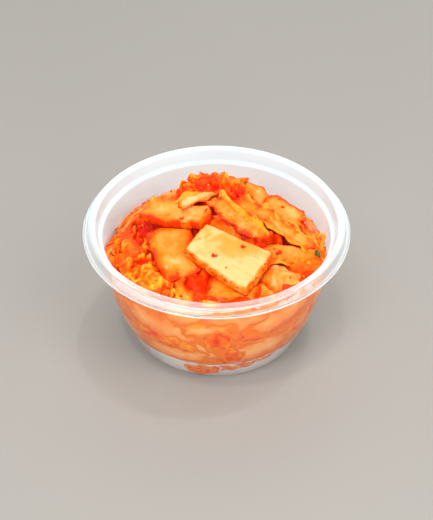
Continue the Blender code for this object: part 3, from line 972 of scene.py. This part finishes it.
# Smaller pieces between them that the photograph shows, without CAD nodes of their own.
BETWEEN = {
    "fold_top_right": Big((14, 7.5, 1.2), (6.5, 15.5, 68.7), (-34, -12, 24), -2.0, -2.0, 0, "pale", 0.15, 1.2, (0.3, 0)),
    "leaf_top_left": Big((18, 12, 0.7), (-9.5, 12.0, 67.0), (20, 10, 6), -1.2, -1.5, 1.5, "yellow"),
    "slab_far_left": Big((14, 9, 2.2), (-32.5, 5.5, 57.2), (-8, 14, 18), 1.0, -0.8, 0, "pale", 0.4, 2.2),
    "leaf_left_high": Big((18, 14, 0.7), (-34.5, -5.5, 54.2), (40, 12, 8), -1.5, -1.8, 1.7, "orange"),
    "leaf_left_low": Big((19, 13, 0.7), (-35.5, -16.5, 50.8), (-60, 6, 14), -1.5, -1.8, 1.6, "orange"),
    "chunk_front_left": Big((15, 9, 0.8), (-24.5, -33.0, 49.6), (-36, 2, 10), -1.6, -1.2, 1.4, "yellow"),
    "strip_front_left": Big((19, 7, 1.6), (-15.0, -36.0, 50.0), (-62, -6, 10), 1.4, -1.0, 0, "amber", 1.0, 3.2, (0.5, 0)),
    "strip_behind_centre": Big((22, 8, 2.0), (3.0, -8.0, 60.6), (-34, -8, 14), 1.6, -1.6, 0, "pale", 0.3, 3.6, (0, 0.4)),
    "leaf_under_strip": Big((22, 10, 1.0), (14.0, -12.5, 60.2), (-42, -14, 10), 1.2, -1.6, 1.2, "yellow"),
    "slab_outline_right": Big((14, 7, 1.6), (34.6, -6.4, 53.2), (-34, -20, 10), 1.2, -1.0, 0, "amber", 0.6, 2.4, (0, 0.4)),
    "leaf_right_low": Big((24, 10, 1.2), (34.5, -21.5, 52.0), (22, -12, 12), -2.4, -1.4, 0, "glossy", 0.8, 3.0, (0, 0.3)),
    "leaf_at_corner": Big((15, 10, 1.0), (-8.0, -8.8, 58.0), (-60, -4, 10), -1.0, -1.0, 0.9, "orange"),
    "ribbon_right": Big((26, 5, 1.2), (31.0, -12.0, 55.0), (-12, -14, 10), 1.5, -1.0, 0, "amber", 0.8, 2.2, (0.5, 0)),
    "leaf_far_right": Big((18, 11, 1.1), (36.4, -10.5, 50.4), (-58, -12, 4), -1.4, -1.8, 1.1, "orange"),
    "chunk_front_right": Big((15, 9, 1.8), (20.8, -34.6, 47.8), (8, -4, 14), 0.8, -1.0, 0, "amber", 0.3, 2.4, (0.4, 0)),
    "leaf_front_right": Big((17, 9, 0.9), (31.6, -31.4, 48.4), (46, 0, 12), -1.0, -1.2, 1.0, "orange"),
    "leaf_back_high": Big((24, 14, 0.8), (-6.0, 22.0, 60.0), (12, 0, -42), -2.0, -2.0, 1.5, "orange"),
    "slab_back_high": Big((22, 10, 2.0), (11.0, 21.0, 60.0), (-28, -4, -40), -1.2, -1.0, 0, "pale", 0.45, 2.6),
    "leaf_back_left": Big((20, 16, 0.8), (-34.0, 13.0, 50.0), (72, 0, -35), -2.0, -2.0, 1.5, "orange"),
}


def cells_for(length, width, spacing):
    """How many rows and columns of points a piece gets."""
    return max(10, int(length / spacing) + 5), max(8, int(width / spacing) + 5)


def big_piece(seed, big):
    length, width, thickness = big.size
    cells = cells_for(length, width, 0.45)
    if big.ruffle:
        sheet = leaf(seed, (length, width), cells, (big.arch, big.cup), 0.7 * big.ruffle, 0.6, thickness)
    else:
        ring = 3.2 if big.look == "ringed" else 0
        crisp = big.rim < 1
        slant, relief, wavy, soft = (0.15, 0.03, 0.12, 0.0) if crisp else (0.3, 0.07, 0.4, 3.5)
        if big.look == "rimmed":
            slant, soft = 0.1, 0.0
        elif thickness > 2.5 and not crisp:
            slant, soft = 0.2, 1.4
        bend = big.arch, big.cup
        ragged, corner = (0.15, 0.03) if crisp else (0.25, 0.03) if thickness > 2.5 else (0.8, 0.14)
        sheet = stem(seed, big.size, cells, bend, 0.1, ragged, wavy, corner, ring, big.margins, slant,
                     big.rim, relief, soft)
        sheet.tone = big.tone
    return sheet.moved(piece_matrix(big.at, big.turn))


def splat_sheet(heights, points, highest=True):
    """Marks a sheet's side on a height map, with points between its own."""
    dense = finer(points, 2)
    heights.splat(dense[..., 0].ravel(), dense[..., 1].ravel(), dense[..., 2].ravel(), highest)


THICK_SIDED = ("stem_slab_centre", "stem_slab_back_left", "stem_slab_front")


def lay_big(ceiling, surface, skirt, moat):
    """Makes the big pieces and notes their undersides on the ceiling and their upper sides on the surface.

    The skirt keeps what lies beside a big piece below its cut side, and the moat does so for the sauce.
    """
    laid = {}
    for k, (node, big) in enumerate({**BIG, **BETWEEN}.items()):
        sheet = big_piece(100 + 7 * k, big)
        pressed(sheet, ceiling, 0.15)
        within_wall(sheet)
        splat_sheet(surface, sheet.upper)
        splat_sheet(ceiling, sheet.lower, False)
        splat_sheet(skirt, sheet.lower + (0, 0, SKIRT_SHARE * big.size[2]), False)
        if node in THICK_SIDED:
            splat_sheet(moat, sheet.lower, False)
        laid[node] = sheet
    for heights in (skirt, moat):
        heights.z = spread_out(heights.z, 10, np.minimum, SKIRT_SLOPE * CELL)
    return laid


# ---------------------------------------------------------------------------------------------------------
# The pieces of the heap, laid until the mound has its height

Kind = namedtuple("Kind", "make length width thickness share leafy slanted ragged cell", defaults=[0.0, 1.0, 0.25, 1.06])


def make_filler(rng, kind):
    """One piece of a kind, flat at the origin."""
    seed = int(rng.integers(1 << 30))
    length, width = rng.uniform(*kind.length), rng.uniform(*kind.width)
    thickness = rng.uniform(*kind.thickness)
    bend = rng.uniform(-1.2, 1.2) * length / 20, rng.uniform(-1.0, 1.0) * width / 10
    if kind.make == "leaf":
        cells = cells_for(length, width, 0.72 * kind.cell)
        return leaf(seed, (length, width), cells, bend, rng.uniform(0.5, 1.1), rng.uniform(0.3, 0.6), thickness)
    cells = cells_for(length, width, 0.92 * kind.cell)
    margins = tuple(rng.uniform(0.25, 0.6, 2) * (rng.uniform(size=2) < kind.leafy))
    taper = rng.uniform(0, 0.16)
    if kind.slanted < 1:
        bend = 0.0, 0.0
    slant = rng.uniform(0.1, 0.4) * kind.slanted
    soft = 3.2 * kind.slanted
    return stem(seed, (length, width, thickness), cells, bend, taper, kind.ragged, 0.5, 0.2 * kind.ragged, 0, margins, slant,
                0.42 * width, 0.1, soft)


def along_slope(rng, heights, x, y, spread):
    """A turn that lays a flat piece along the slope of the height map there, a little askew."""
    step = 4.0
    dx = (heights.read(x + step, y) - heights.read(x - step, y)) / (2 * step)
    dy = (heights.read(x, y + step) - heights.read(x, y - step)) / (2 * step)
    dx, dy = float(dx) + rng.normal(0, spread), float(dy) + rng.normal(0, spread)
    up = Vector((-dx, -dy, 1)).normalized()
    return up.to_track_quat("Z", "Y").to_matrix().to_4x4()


def lay_heap(ground, ceiling, surface, target, cap, kinds, count, seed):
    """Lays pieces one by one where the heap lacks most. Gives back the sheets of each kind."""
    rng = np.random.default_rng(seed)
    laid = {name: [] for name in kinds}
    names = list(kinds)
    chance = np.array([kinds[name].share for name in names], float)
    inside = np.hypot(ground.x, ground.y) < side_radius(target) - 2.5
    for _ in range(count):
        lack = np.where(inside, np.minimum(target, ceiling.z - 0.4) - ground.z, 0)
        lack = np.clip(lack - 0.7, 0, None) ** 2
        if lack.sum() < 1:
            break
        spot = rng.choice(lack.size, p=(lack / lack.sum()).ravel())
        x, y = float(ground.x.ravel()[spot]), float(ground.y.ravel()[spot])
        reach = math.hypot(x, y)
        if reach > 41:
            x, y = x * 41 / reach, y * 41 / reach
        name = names[rng.choice(len(names), p=chance / chance.sum())]
        sheet = make_filler(rng, kinds[name])
        turn = along_slope(rng, SLOPE, x, y, 0.16) @ Matrix.Rotation(rng.uniform(0, 2 * math.pi), 4, "Z")
        sheet.moved(Matrix.Translation((x, y, 0)) @ turn)
        settled(sheet, ground, ceiling)
        pressed(sheet, cap, 0.0, 6)
        within_wall(sheet)
        splat_sheet(ground, sheet.upper)
        splat_sheet(surface, sheet.upper)
        laid[name].append(sheet)
    return laid


# ---------------------------------------------------------------------------------------------------------
# The pieces pressed against the wall, laid from the wall inwards in a frame unrolled along it

ROUND = 46.0


def rolled(sheet):
    """Rolls a piece from the flat frame (way round, height, depth towards the wall) into the bowl."""
    for side in (sheet.upper, sheet.lower):
        angle = side[..., 0] / ROUND
        z = side[..., 1]
        z = np.maximum(z, 2.4)
        radius = side_radius(z) + np.minimum(side[..., 2], PRESS_DEPTH)
        side[..., 0], side[..., 1], side[..., 2] = radius * np.cos(angle), radius * np.sin(angle), z
    return sheet


def press_on_wall(sheet, wall, covered, foot=True):
    """Flattens a piece against the wall in the unrolled frame, behind those already there, and rolls it up."""
    flat = sheet.upper[..., 2] - np.quantile(sheet.upper[..., 2], 0.35)
    lower = np.clip(flat * 0.65, -2.2, 4.0)
    shift = sheet.upper[..., 2] - lower - PRESS_DEPTH - 0.3
    sheet.upper[..., 2] -= shift
    sheet.lower[..., 2] -= shift
    pressed(sheet, wall, 0.04, 3)
    top = wall_contact(sheet.upper[..., 0] / ROUND) - 1.8
    for side in (sheet.upper, sheet.lower):
        over = np.maximum(side[..., 1] - top, 0)
        side[..., 1] -= over * 0.85
        side[..., 2] -= over * 0.5
        if foot:
            under = np.maximum(CREASE_HEIGHT - side[..., 1], 0)
            side[..., 1] += under * 0.85
            side[..., 2] -= under * 0.6
    splat_sheet(wall, sheet.lower, False)
    dense = finer(sheet.upper, 2)
    fx, fy = covered.cells(dense[..., 0].ravel(), dense[..., 1].ravel())
    cells = np.unique(np.stack([np.round(fx).astype(int), np.round(fy).astype(int)], -1), axis=0)
    covered.z[cells[:, 0], cells[:, 1]] += 1
    return rolled(sheet)


# Pieces the photograph shows through the front of the wall: kind, length, width, thickness, the way round in
# millimetres from the right, height, turn from level.
THROUGH_WALL = [
    ("pressed_red_leaves", 23, 10, 1.0, -69.5, 26.0, -66),
    ("pressed_strips", 20, 1.5, 1.0, -39.5, 34.0, 14),
    ("pressed_strips", 21, 1.3, 1.0, -55.0, 28.0, 5),
    ("pressed_leaves", 38, 6.5, 1.0, -101.0, 26.5, -3),
    ("pressed_orange_stems", 20, 8, 2.2, -76.5, 38.5, 9),
    ("pressed_stems", 29, 13, 2.8, -96.5, 35.5, -8),
    ("pressed_stems", 27, 10, 2.6, -91.0, 19.0, 2),
    ("pressed_stems", 28, 13, 2.8, -55.0, 21.5, 8),
    ("pressed_stems", 25, 12, 2.8, -65.0, 44.5, 4),
    ("pressed_orange_stems", 20, 9, 2.4, -103.0, 44.0, -12),
    ("pressed_stems", 24, 11, 2.8, -84.0, 46.0, -6),
    ("pressed_stems", 27, 13, 2.8, -43.0, 41.0, 16),
    ("pressed_leaves", 20, 8, 1.0, -116.0, 37.0, 40),
    ("pressed_leaves", 18, 9, 1.0, -33.0, 27.0, 50),
    ("foot_bits", 18, 7.6, 1.2, -79.5, 7.2, 4),
    ("foot_bits", 12, 4.5, 1.0, -67.0, 9.2, -4),
    ("foot_bits", 14, 4.0, 1.0, -57.0, 10.2, 8),
    ("foot_bits", 9, 3.5, 1.0, -47.0, 11.0, 10),
    ("foot_bits", 3.2, 2.2, 0.8, -111.0, 7.4, 30),
    ("foot_bits", 3.5, 2.0, 0.8, -28.0, 7.0, -20),
]


def lay_wall(kinds, count, seed):
    """Presses pieces against the wall: those the photograph shows, then others all the way round."""
    rng = np.random.default_rng(seed)
    half = math.pi * ROUND
    wall = HeightMap((-half, 0.0), (half, 60.0), PRESS_DEPTH, wraps=True)
    covered = HeightMap((-half, 0.0), (half, 60.0), 0.0, wraps=True)
    laid = {name: [] for name in kinds}
    for name, length, width, thickness, s, z, turn in THROUGH_WALL:
        sheet = make_filler(rng, kinds[name]._replace(
            length=(length, length), width=(width, width), thickness=(thickness, thickness)
        ))
        turn = math.radians(turn)
        sheet.moved(Matrix.Translation((s, z, -0.6)) @ Matrix.Rotation(turn, 4, "Z"))
        laid[name].append(press_on_wall(sheet, wall, covered, name != "foot_bits"))
    names = [name for name in kinds if kinds[name].share]
    chance = np.array([kinds[name].share for name in names], float)
    open_area = (wall.y > CREASE_HEIGHT + 2) & (wall.y < wall_contact(wall.x / ROUND) - 3)
    for _ in range(count):
        room = np.where(open_area, np.exp(-1.3 * covered.z), 0)
        spot = rng.choice(room.size, p=(room / room.sum()).ravel())
        s, z = float(wall.x.ravel()[spot]), float(wall.y.ravel()[spot])
        name = names[rng.choice(len(names), p=chance / chance.sum())]
        sheet = make_filler(rng, kinds[name])
        yaw = rng.normal(0, 0.35) if rng.uniform() < 0.8 else rng.uniform(0, math.pi)
        tilt = Matrix.Rotation(rng.normal(0, 0.05), 4, "X") @ Matrix.Rotation(rng.normal(0, 0.04), 4, "Y")
        sheet.moved(Matrix.Translation((s, z, -0.6)) @ tilt @ Matrix.Rotation(yaw, 4, "Z"))
        laid[name].append(press_on_wall(sheet, wall, covered))
    return laid


# ---------------------------------------------------------------------------------------------------------
# Small bits on top

def chip(rng, size, thick):
    """A flat irregular chip, as a small sheet of 7 by 6 points."""
    u, v = np.meshgrid(np.linspace(-1, 1, 7), np.linspace(-1, 1, 6), indexing="ij")
    round_off = 1 - 0.3 * (np.abs(u) * np.abs(v)) ** 1.5
    length, width = size, size * rng.uniform(0.45, 0.85)
    jag = noise_field(int(rng.integers(1 << 30)), 1.6 * size, 2, 2)
    plan = np.stack([u, v], -1) * size
    x = u * length / 2 * round_off + 0.16 * size * jag(plan)
    y = v * width / 2 * round_off + 0.16 * size * jag(plan + 17.0)
    z = 0.14 * size * jag(plan + 41.0) + rng.uniform(-0.1, 0.2) * size * u**2
    border = np.maximum(np.abs(u), np.abs(v))
    half = thick / 2 * (0.4 + 0.6 * np.clip((1 - border) * 3, 0, 1) ** 0.5)
    return Sheet(np.stack([x, y, z + half], -1), np.stack([x, y, z - half], -1), border, 0 * u, 0 * u, rng.uniform())


def scatter(rng, surface, count, size, thick, where, sunk=0.25):
    """Chips lying on the surface of the heap."""
    laid = []
    for _ in range(count):
        x, y = where(rng)
        z = float(surface.read(np.array(x), np.array(y)))
        piece = chip(rng, rng.uniform(*size), rng.uniform(*thick))
        near = 0.7
        dx = float(surface.read(np.array(x + near), np.array(y)) - surface.read(np.array(x - near), np.array(y)))
        dy = float(surface.read(np.array(x), np.array(y + near)) - surface.read(np.array(x), np.array(y - near)))
        dx, dy = np.clip([dx / 2 / near, dy / 2 / near], -1.5, 1.5)
        up = Vector((-dx, -dy, 1)).normalized()
        turn = up.to_track_quat("Z", "Y").to_matrix().to_4x4()
        turn = turn @ Matrix.Rotation(rng.uniform(0, 6.28), 4, "Z")
        lift = rng.uniform(-sunk, 0.5) * thick[1]
        piece.moved(Matrix.Translation(Vector((x, y, z)) + up * lift) @ turn)
        laid.append(piece)
    return laid


# ---------------------------------------------------------------------------------------------------------
# Camera, light and floor


def make_camera():
    camera = bpy.data.objects.new("camera", bpy.data.cameras.new("camera"))
    camera.location = (0.0, -0.6208, 0.5625)
    camera.rotation_euler = (Vector((0, 0, 0.0364)) - camera.location).to_track_quat("-Z", "Y").to_euler()
    camera.data.lens = 126.8
    camera.data.sensor_width = 36.0
    bpy.context.scene.collection.objects.link(camera)
    bpy.context.scene.camera = camera


def make_lamp(name, at, aim, size, watts, colour=(1.0, 1.0, 1.0)):
    data = bpy.data.lights.new(name, "AREA")
    data.shape = "RECTANGLE"
    data.size, data.size_y = size
    data.energy = watts
    data.color = colour
    lamp = bpy.data.objects.new(name, data)
    lamp.location = at
    lamp.rotation_euler = (Vector(aim) - Vector(at)).to_track_quat("-Z", "Y").to_euler()
    bpy.context.scene.collection.objects.link(lamp)


def make_studio():
    scene = bpy.context.scene
    scene.view_settings.view_transform = "Standard"
    scene.view_settings.look = "None"
    scene.cycles.use_denoising = True
    scene.cycles.transmission_bounces = 16
    scene.cycles.transparent_max_bounces = 24
    scene.cycles.max_bounces = 20
    world = bpy.data.worlds.new("studio")
    world.use_nodes = True
    tree = world.node_tree
    place = tree.nodes.new("ShaderNodeTexCoord")
    split = tree.nodes.new("ShaderNodeSeparateXYZ")
    sky = tree.nodes.new("ShaderNodeMapRange")
    sky.inputs["To Min"].default_value, sky.inputs["To Max"].default_value = SKY_LOW, SKY_HIGH
    tree.links.new(place.outputs["Generated"], split.inputs[0])
    tree.links.new(split.outputs["Z"], sky.inputs["Value"])
    tree.links.new(sky.outputs["Result"], tree.nodes["Background"].inputs["Strength"])
    tree.nodes["Background"].inputs["Color"].default_value = (0.98, 0.99, 1.0, 1.0)
    scene.world = world
    aim = (0.0, 0.0, 0.04)
    make_lamp("key", (-0.35, -0.55, 0.75), aim, (0.35, 0.35), KEY_WATTS)
    make_lamp("fill", (0.45, -0.35, 0.6), aim, (0.4, 0.4), FILL_WATTS)
    make_lamp("back", (0.1, 0.6, 0.6), aim, (0.5, 0.3), BACK_WATTS)
    for side in (-1, 1):
        make_lamp("front", (0.2 * side, -0.9, 0.26), aim, (0.12, 0.06), FRONT_WATTS / 2)
    make_lamp("glint_left", (-0.16, -0.2, 0.85), aim, (0.015, 0.015), GLINT_WATTS)
    make_lamp("glint_right", (0.2, 0.15, 0.8), aim, (0.015, 0.015), GLINT_WATTS)
    bpy.ops.mesh.primitive_plane_add(size=6.0, location=(0, 0, -0.00005))
    floor = bpy.context.object
    floor.name = "floor"
    floor.data.materials.append(floor_look())


SKY_LOW = 0.55
SKY_HIGH = 0.95
KEY_WATTS = 3.3
FILL_WATTS = 2.2
BACK_WATTS = 1.1
FRONT_WATTS = 2.0
GLINT_WATTS = 1.0
# Haze of the bowl's skin. Where the bare wall, the back of the rim, the crease and the lip are whiter, it is painted
# light.
HAZE = 0.62
GLOW_SHARE = 0.85
BARE_HAZE_AND_PAINTED_LIGHT = 0.94
RIM_HAZE_FRONT = 0.03
RIM_BACK_PAINTED_LIGHT = 0.95
FOOT_HAZE = 0.3
CREASE_PAINTED_HIGHLIGHT = 0.95
LIP_PAINTED_HIGHLIGHT = 0.25

# Hollows between the big pieces: where, how wide and how deep.
DIPS = [
    (-5.0, -35.0, 8.0, 4.0),
    (-8.0, -30.5, 7.0, 7.0),
    (16.0, -36.0, 6.0, 2.5),
    (17.0, -12.0, 5.0, 3.5),
    (24.0, -19.0, 5.0, 3.0),
    (-14.0, -10.0, 6.0, 2.0),
    (2.0, -8.0, 6.0, 2.0),
]
PRESS_DEPTH = 0.28
FILL_BELOW = 1.7
GAP_CELLS = 4
FILL_SLOPE = 1.1
POOL = (-7.6, -30.8, 4.0)
POOL_SLOPE = 1.0
HELD_BELOW = 1.0
HELD_SLOPE = 1.0

make_camera()
make_studio()
make_bowl()

looks = {
    "pale": stem_look("pale_stem", -0.03, 0.0, 0.6, 0.5),
    "clean": stem_look("clean_stem", 0.02, 0.0, 0.34, 0.0),
    "rimmed": stem_look("rimmed_stem", 0.0, 0.0, 0.5, 0.6),
    "amber": stem_look("amber_stem", -0.1, 0.0, 0.75),
    "glossy": stem_look("glossy_leaf", -0.42, 0.0, 0.35),
    "ringed": stem_look("ringed_stem", 0.0, 0.0, 0.4),
    "pressed": stem_look("pressed_stem", 0.04, 0.5, 0.75, 0.5),
    "pressed_orange": stem_look("pressed_orange_stem", -0.15, 0.2, 0.6, 0.5),
    "red": leaf_look("red_leaf", 0.21),
    "orange": leaf_look("orange_leaf", 0.13),
    "yellow": leaf_look("yellow_leaf", 0.14, 0.5),
    "wall_leaf": leaf_look("wall_leaf", -0.12, 0.25),
    "wall_orange": leaf_look("wall_orange_leaf", 0.06, 0.2),
    "sauce": sauce_look(),
}

low, high = (-HALF, -HALF), (HALF, HALF)
SLOPE = HeightMap(low, high, mound_height)
SLOPE.z = smoothed(SLOPE.z, 60)
ceiling = HeightMap(low, high, 200.0)
skirt = HeightMap(low, high, 200.0)
surface = HeightMap(low, high, -50.0)
moat = HeightMap(low, high, 200.0)
big_pieces = lay_big(ceiling, surface, skirt, moat)
big_top = np.where(surface.z > 0, surface.z - 0.4, 200.0)
ground = HeightMap(low, high, -50.0)
upper_half = core_points(256, np.linspace(0.995, 0, 74), skirt)
ground.splat(*[finer(upper_half, 4)[..., k].ravel() for k in range(3)])
surface.z = np.maximum(surface.z, ground.z)
bumps = noise_field(21, 13.0, 3, 2)(np.stack([ground.x, ground.y], -1))
target = mound_height(ground.x, ground.y) + 1.2 * bumps
target -= dip_at(ground.x, ground.y, DIPS)
held_up = np.where(ceiling.z < 100, ceiling.z - HELD_BELOW, -50.0)
target = np.maximum(target, spread_out(held_up, 60, np.maximum, -HELD_SLOPE * CELL))
target -= dip_at(ground.x, ground.y, WALL_DIPS)

KINDS = {
    "pale_stems": Kind("stem", (14, 24), (9, 15), (1.8, 3.2), 3, 0.35),
    "amber_stems": Kind("stem", (14, 26), (8, 14), (1.6, 2.6), 4, 0.6),
    "strips": Kind("stem", (12, 24), (2.4, 4.5), (1.2, 2.0), 1),
    "orange_leaves": Kind("leaf", (14, 25), (10, 17), (0.8, 1.1), 3),
    "red_leaves": Kind("leaf", (12, 22), (9, 15), (0.8, 1.0), 2),
}
KIND_LOOK = {
    "pale_stems": ("pale", "stem"),
    "amber_stems": ("amber", "stem_orange"),
    "strips": ("amber", "stem_orange"),
    "orange_leaves": ("orange", "leaf"),
    "red_leaves": ("red", "leaf"),
}
cap = HeightMap(low, high, 0.0)
cap.z = np.minimum(target + 1.0, skirt.z)
laid = lay_heap(ground, ceiling, surface, np.minimum(target - 0.8, skirt.z - 0.3), cap, KINDS, 150, 31)
average = HeightMap(low, high, 0.0)
average.z = smoothed(np.maximum(surface.z, 30), 160)


filled = HeightMap(low, high, 0.0)
closed = spread_out(spread_out(np.maximum(surface.z, 30), GAP_CELLS, np.maximum), GAP_CELLS, np.minimum)
filled.z = np.minimum(np.minimum(smoothed(closed, 8), closed) - FILL_BELOW, np.minimum(big_top, moat.z))
filled.z = spread_out(filled.z, 40, np.minimum, FILL_SLOPE * CELL)
away = np.maximum(np.hypot(ground.x - POOL[0], ground.y - POOL[1]) - POOL[2], 0)
pool = np.quantile(surface.z[away == 0], 0.85) - POOL_SLOPE * away
pool += 0.4 * noise_field(22, 2.6, 2, 2)(np.stack([ground.x, ground.y], -1))
filled.z = np.maximum(filled.z, np.minimum(pool, np.minimum(big_top, moat.z)))


def depth_in_heap(points):
    """How far points lie below the heap's average surface near them: 1 at 4 mm, or deeper behind the peak. The colours
    paint shade with it, redder and darker the deeper.
    """
    full = 4.0 + 0.3 * np.maximum(points[:, 1] - 8.0, 0)
    return np.clip((average.read(points[:, 0], points[:, 1]) - points[:, 2]) / full, 0, 1)


make_core(looks["sauce"], skirt, filled, depth_in_heap)


def depth_from_wall(points):
    """How far points lie behind the wall, 0 to 1 for 1.5 mm. The colours paint shade with it, redder the deeper."""
    return np.clip((side_radius(points[:, 2]) - np.hypot(points[:, 0], points[:, 1])) / 1.5, 0, 1)


for node, sheet in big_pieces.items():
    if node in BIG:
        sheets_object(node + "_cut", [sheet], looks[BIG[node].look], [node], depth_in_heap)
    else:
        sheets_object(node, [sheet], looks[BETWEEN[node].look], (), depth_in_heap)
for name, sheets in laid.items():
    look, slot = KIND_LOOK[name]
    print(name, len(sheets), sum(4 * s.edge.size for s in sheets))
    sheets_object(name, sheets, looks[look], (), depth_in_heap)

WALL_KINDS = {
    "pressed_stems": Kind("stem", (20, 38), (10, 19), (2.0, 3.6), 5, 0.4, 0.2, 1.3),
    "pressed_orange_stems": Kind("stem", (18, 32), (8, 15), (2.0, 3.4), 2, 0.4, 0.2, 1.3),
    "pressed_leaves": Kind("leaf", (15, 26), (9, 15), (0.7, 1.1), 1.3),
    "pressed_red_leaves": Kind("leaf", (12, 18), (8, 12), (0.7, 1.1), 0.4),
    "pressed_strips": Kind("stem", (14, 22), (1.2, 2.4), (0.8, 1.2), 0.4, 0, 0.2, 0.6),
    "foot_bits": Kind("stem", (3, 14), (2, 3), (0.8, 1.0), 0, 0, 0.2, 0.8),
}
WALL_LOOK = {
    "pressed_stems": ("pressed", "stem"),
    "pressed_orange_stems": ("pressed_orange", "stem_orange"),
    "pressed_leaves": ("wall_leaf", "leaf"),
    "pressed_red_leaves": ("wall_orange", "leaf"),
    "pressed_strips": ("pressed_orange", "stem_orange"),
    "foot_bits": ("orange", "leaf"),
}
WALL_KINDS = {name: kind._replace(cell=1.45) for name, kind in WALL_KINDS.items()}
for name, sheets in lay_wall(WALL_KINDS, 100, 41).items():
    look, slot = WALL_LOOK[name]
    print(name, len(sheets), sum(4 * s.edge.size for s in sheets))
    sheets_object(name, sheets, looks[look], (), depth_from_wall)


def anywhere(rng):
    a, r = rng.uniform(0, 2 * math.pi), 44 * math.sqrt(rng.uniform())
    return r * math.cos(a), r * math.sin(a)


def off_slabs(rng):
    """A spot anywhere but on the clean faces of the large pale slabs."""
    while True:
        x, y = anywhere(rng)
        if all((x - a) ** 2 + (y - b) ** 2 > across**2 for a, b, across in CLEAN):
            return x, y


# Clean faces: where and how far across. Single flakes: where and how large.
CLEAN = [(4.5, -23.0, 13.0), (-18.0, -16.0, 9.0), (7.0, -36.0, 7.0), (-17.0, 0.0, 9.0), (26.0, -28.0, 7.0)]
HOOK_AT = (46.2, -9.0, 55.8)
SCALLION_AT = (44.0, -14.0)
FLAKES = [
    (-1.0, -25.3, 2.7),
    (11.2, -21.0, 2.1),
    (0.0, -31.8, 1.5),
    (4.1, -30.7, 0.8),
    (-14.9, -5.4, 2.0),
    (-4.5, -3.8, 1.5),
    (-35.0, 3.1, 2.2),
    (-36.1, -20.3, 1.9),
    (26.7, -18.2, 2.6),
    (31.4, -30.5, 0.9),
    (-2.7, -35.5, 1.6),
]
rng = np.random.default_rng(51)
flakes = scatter(rng, surface, 38, (0.8, 1.8), (0.2, 0.35), off_slabs)
for x, y, size in FLAKES:
    flakes += scatter(rng, surface, 1, (size, size), (0.25, 0.35), lambda rng, x=x, y=y: (x, y), 0.1)
sheets_object("chilli_flakes", flakes, bit_look("chilli_flake", (0.62, 0.010, 0.002), (0.80, 0.03, 0.003)))
crumbs = scatter(rng, surface, 160, (0.4, 1.0), (0.3, 0.6), off_slabs, 0.1)
sheets_object("garlic_crumbs", crumbs, bit_look("garlic_crumb", (0.92, 0.22, 0.01), (0.95, 0.50, 0.09)))

hook = curled(stem(77, (10.4, 1.8, 1.3), (44, 12), (0, 0), 0.2, 0.1, 0.1, rim=0.5), 1.1, 1.4)
hook.moved(piece_matrix(HOOK_AT, (0, 80, 0)))
sheets_object("curled_strip", [hook], looks["yellow"])
scallion = scatter(rng, surface, 1, (3.4, 3.4), (0.6, 0.7), lambda rng: SCALLION_AT, 0.0)
sheets_object("scallion_bit", scallion, bit_look("scallion_bit", (0.03, 0.07, 0.012), (0.10, 0.16, 0.03)))
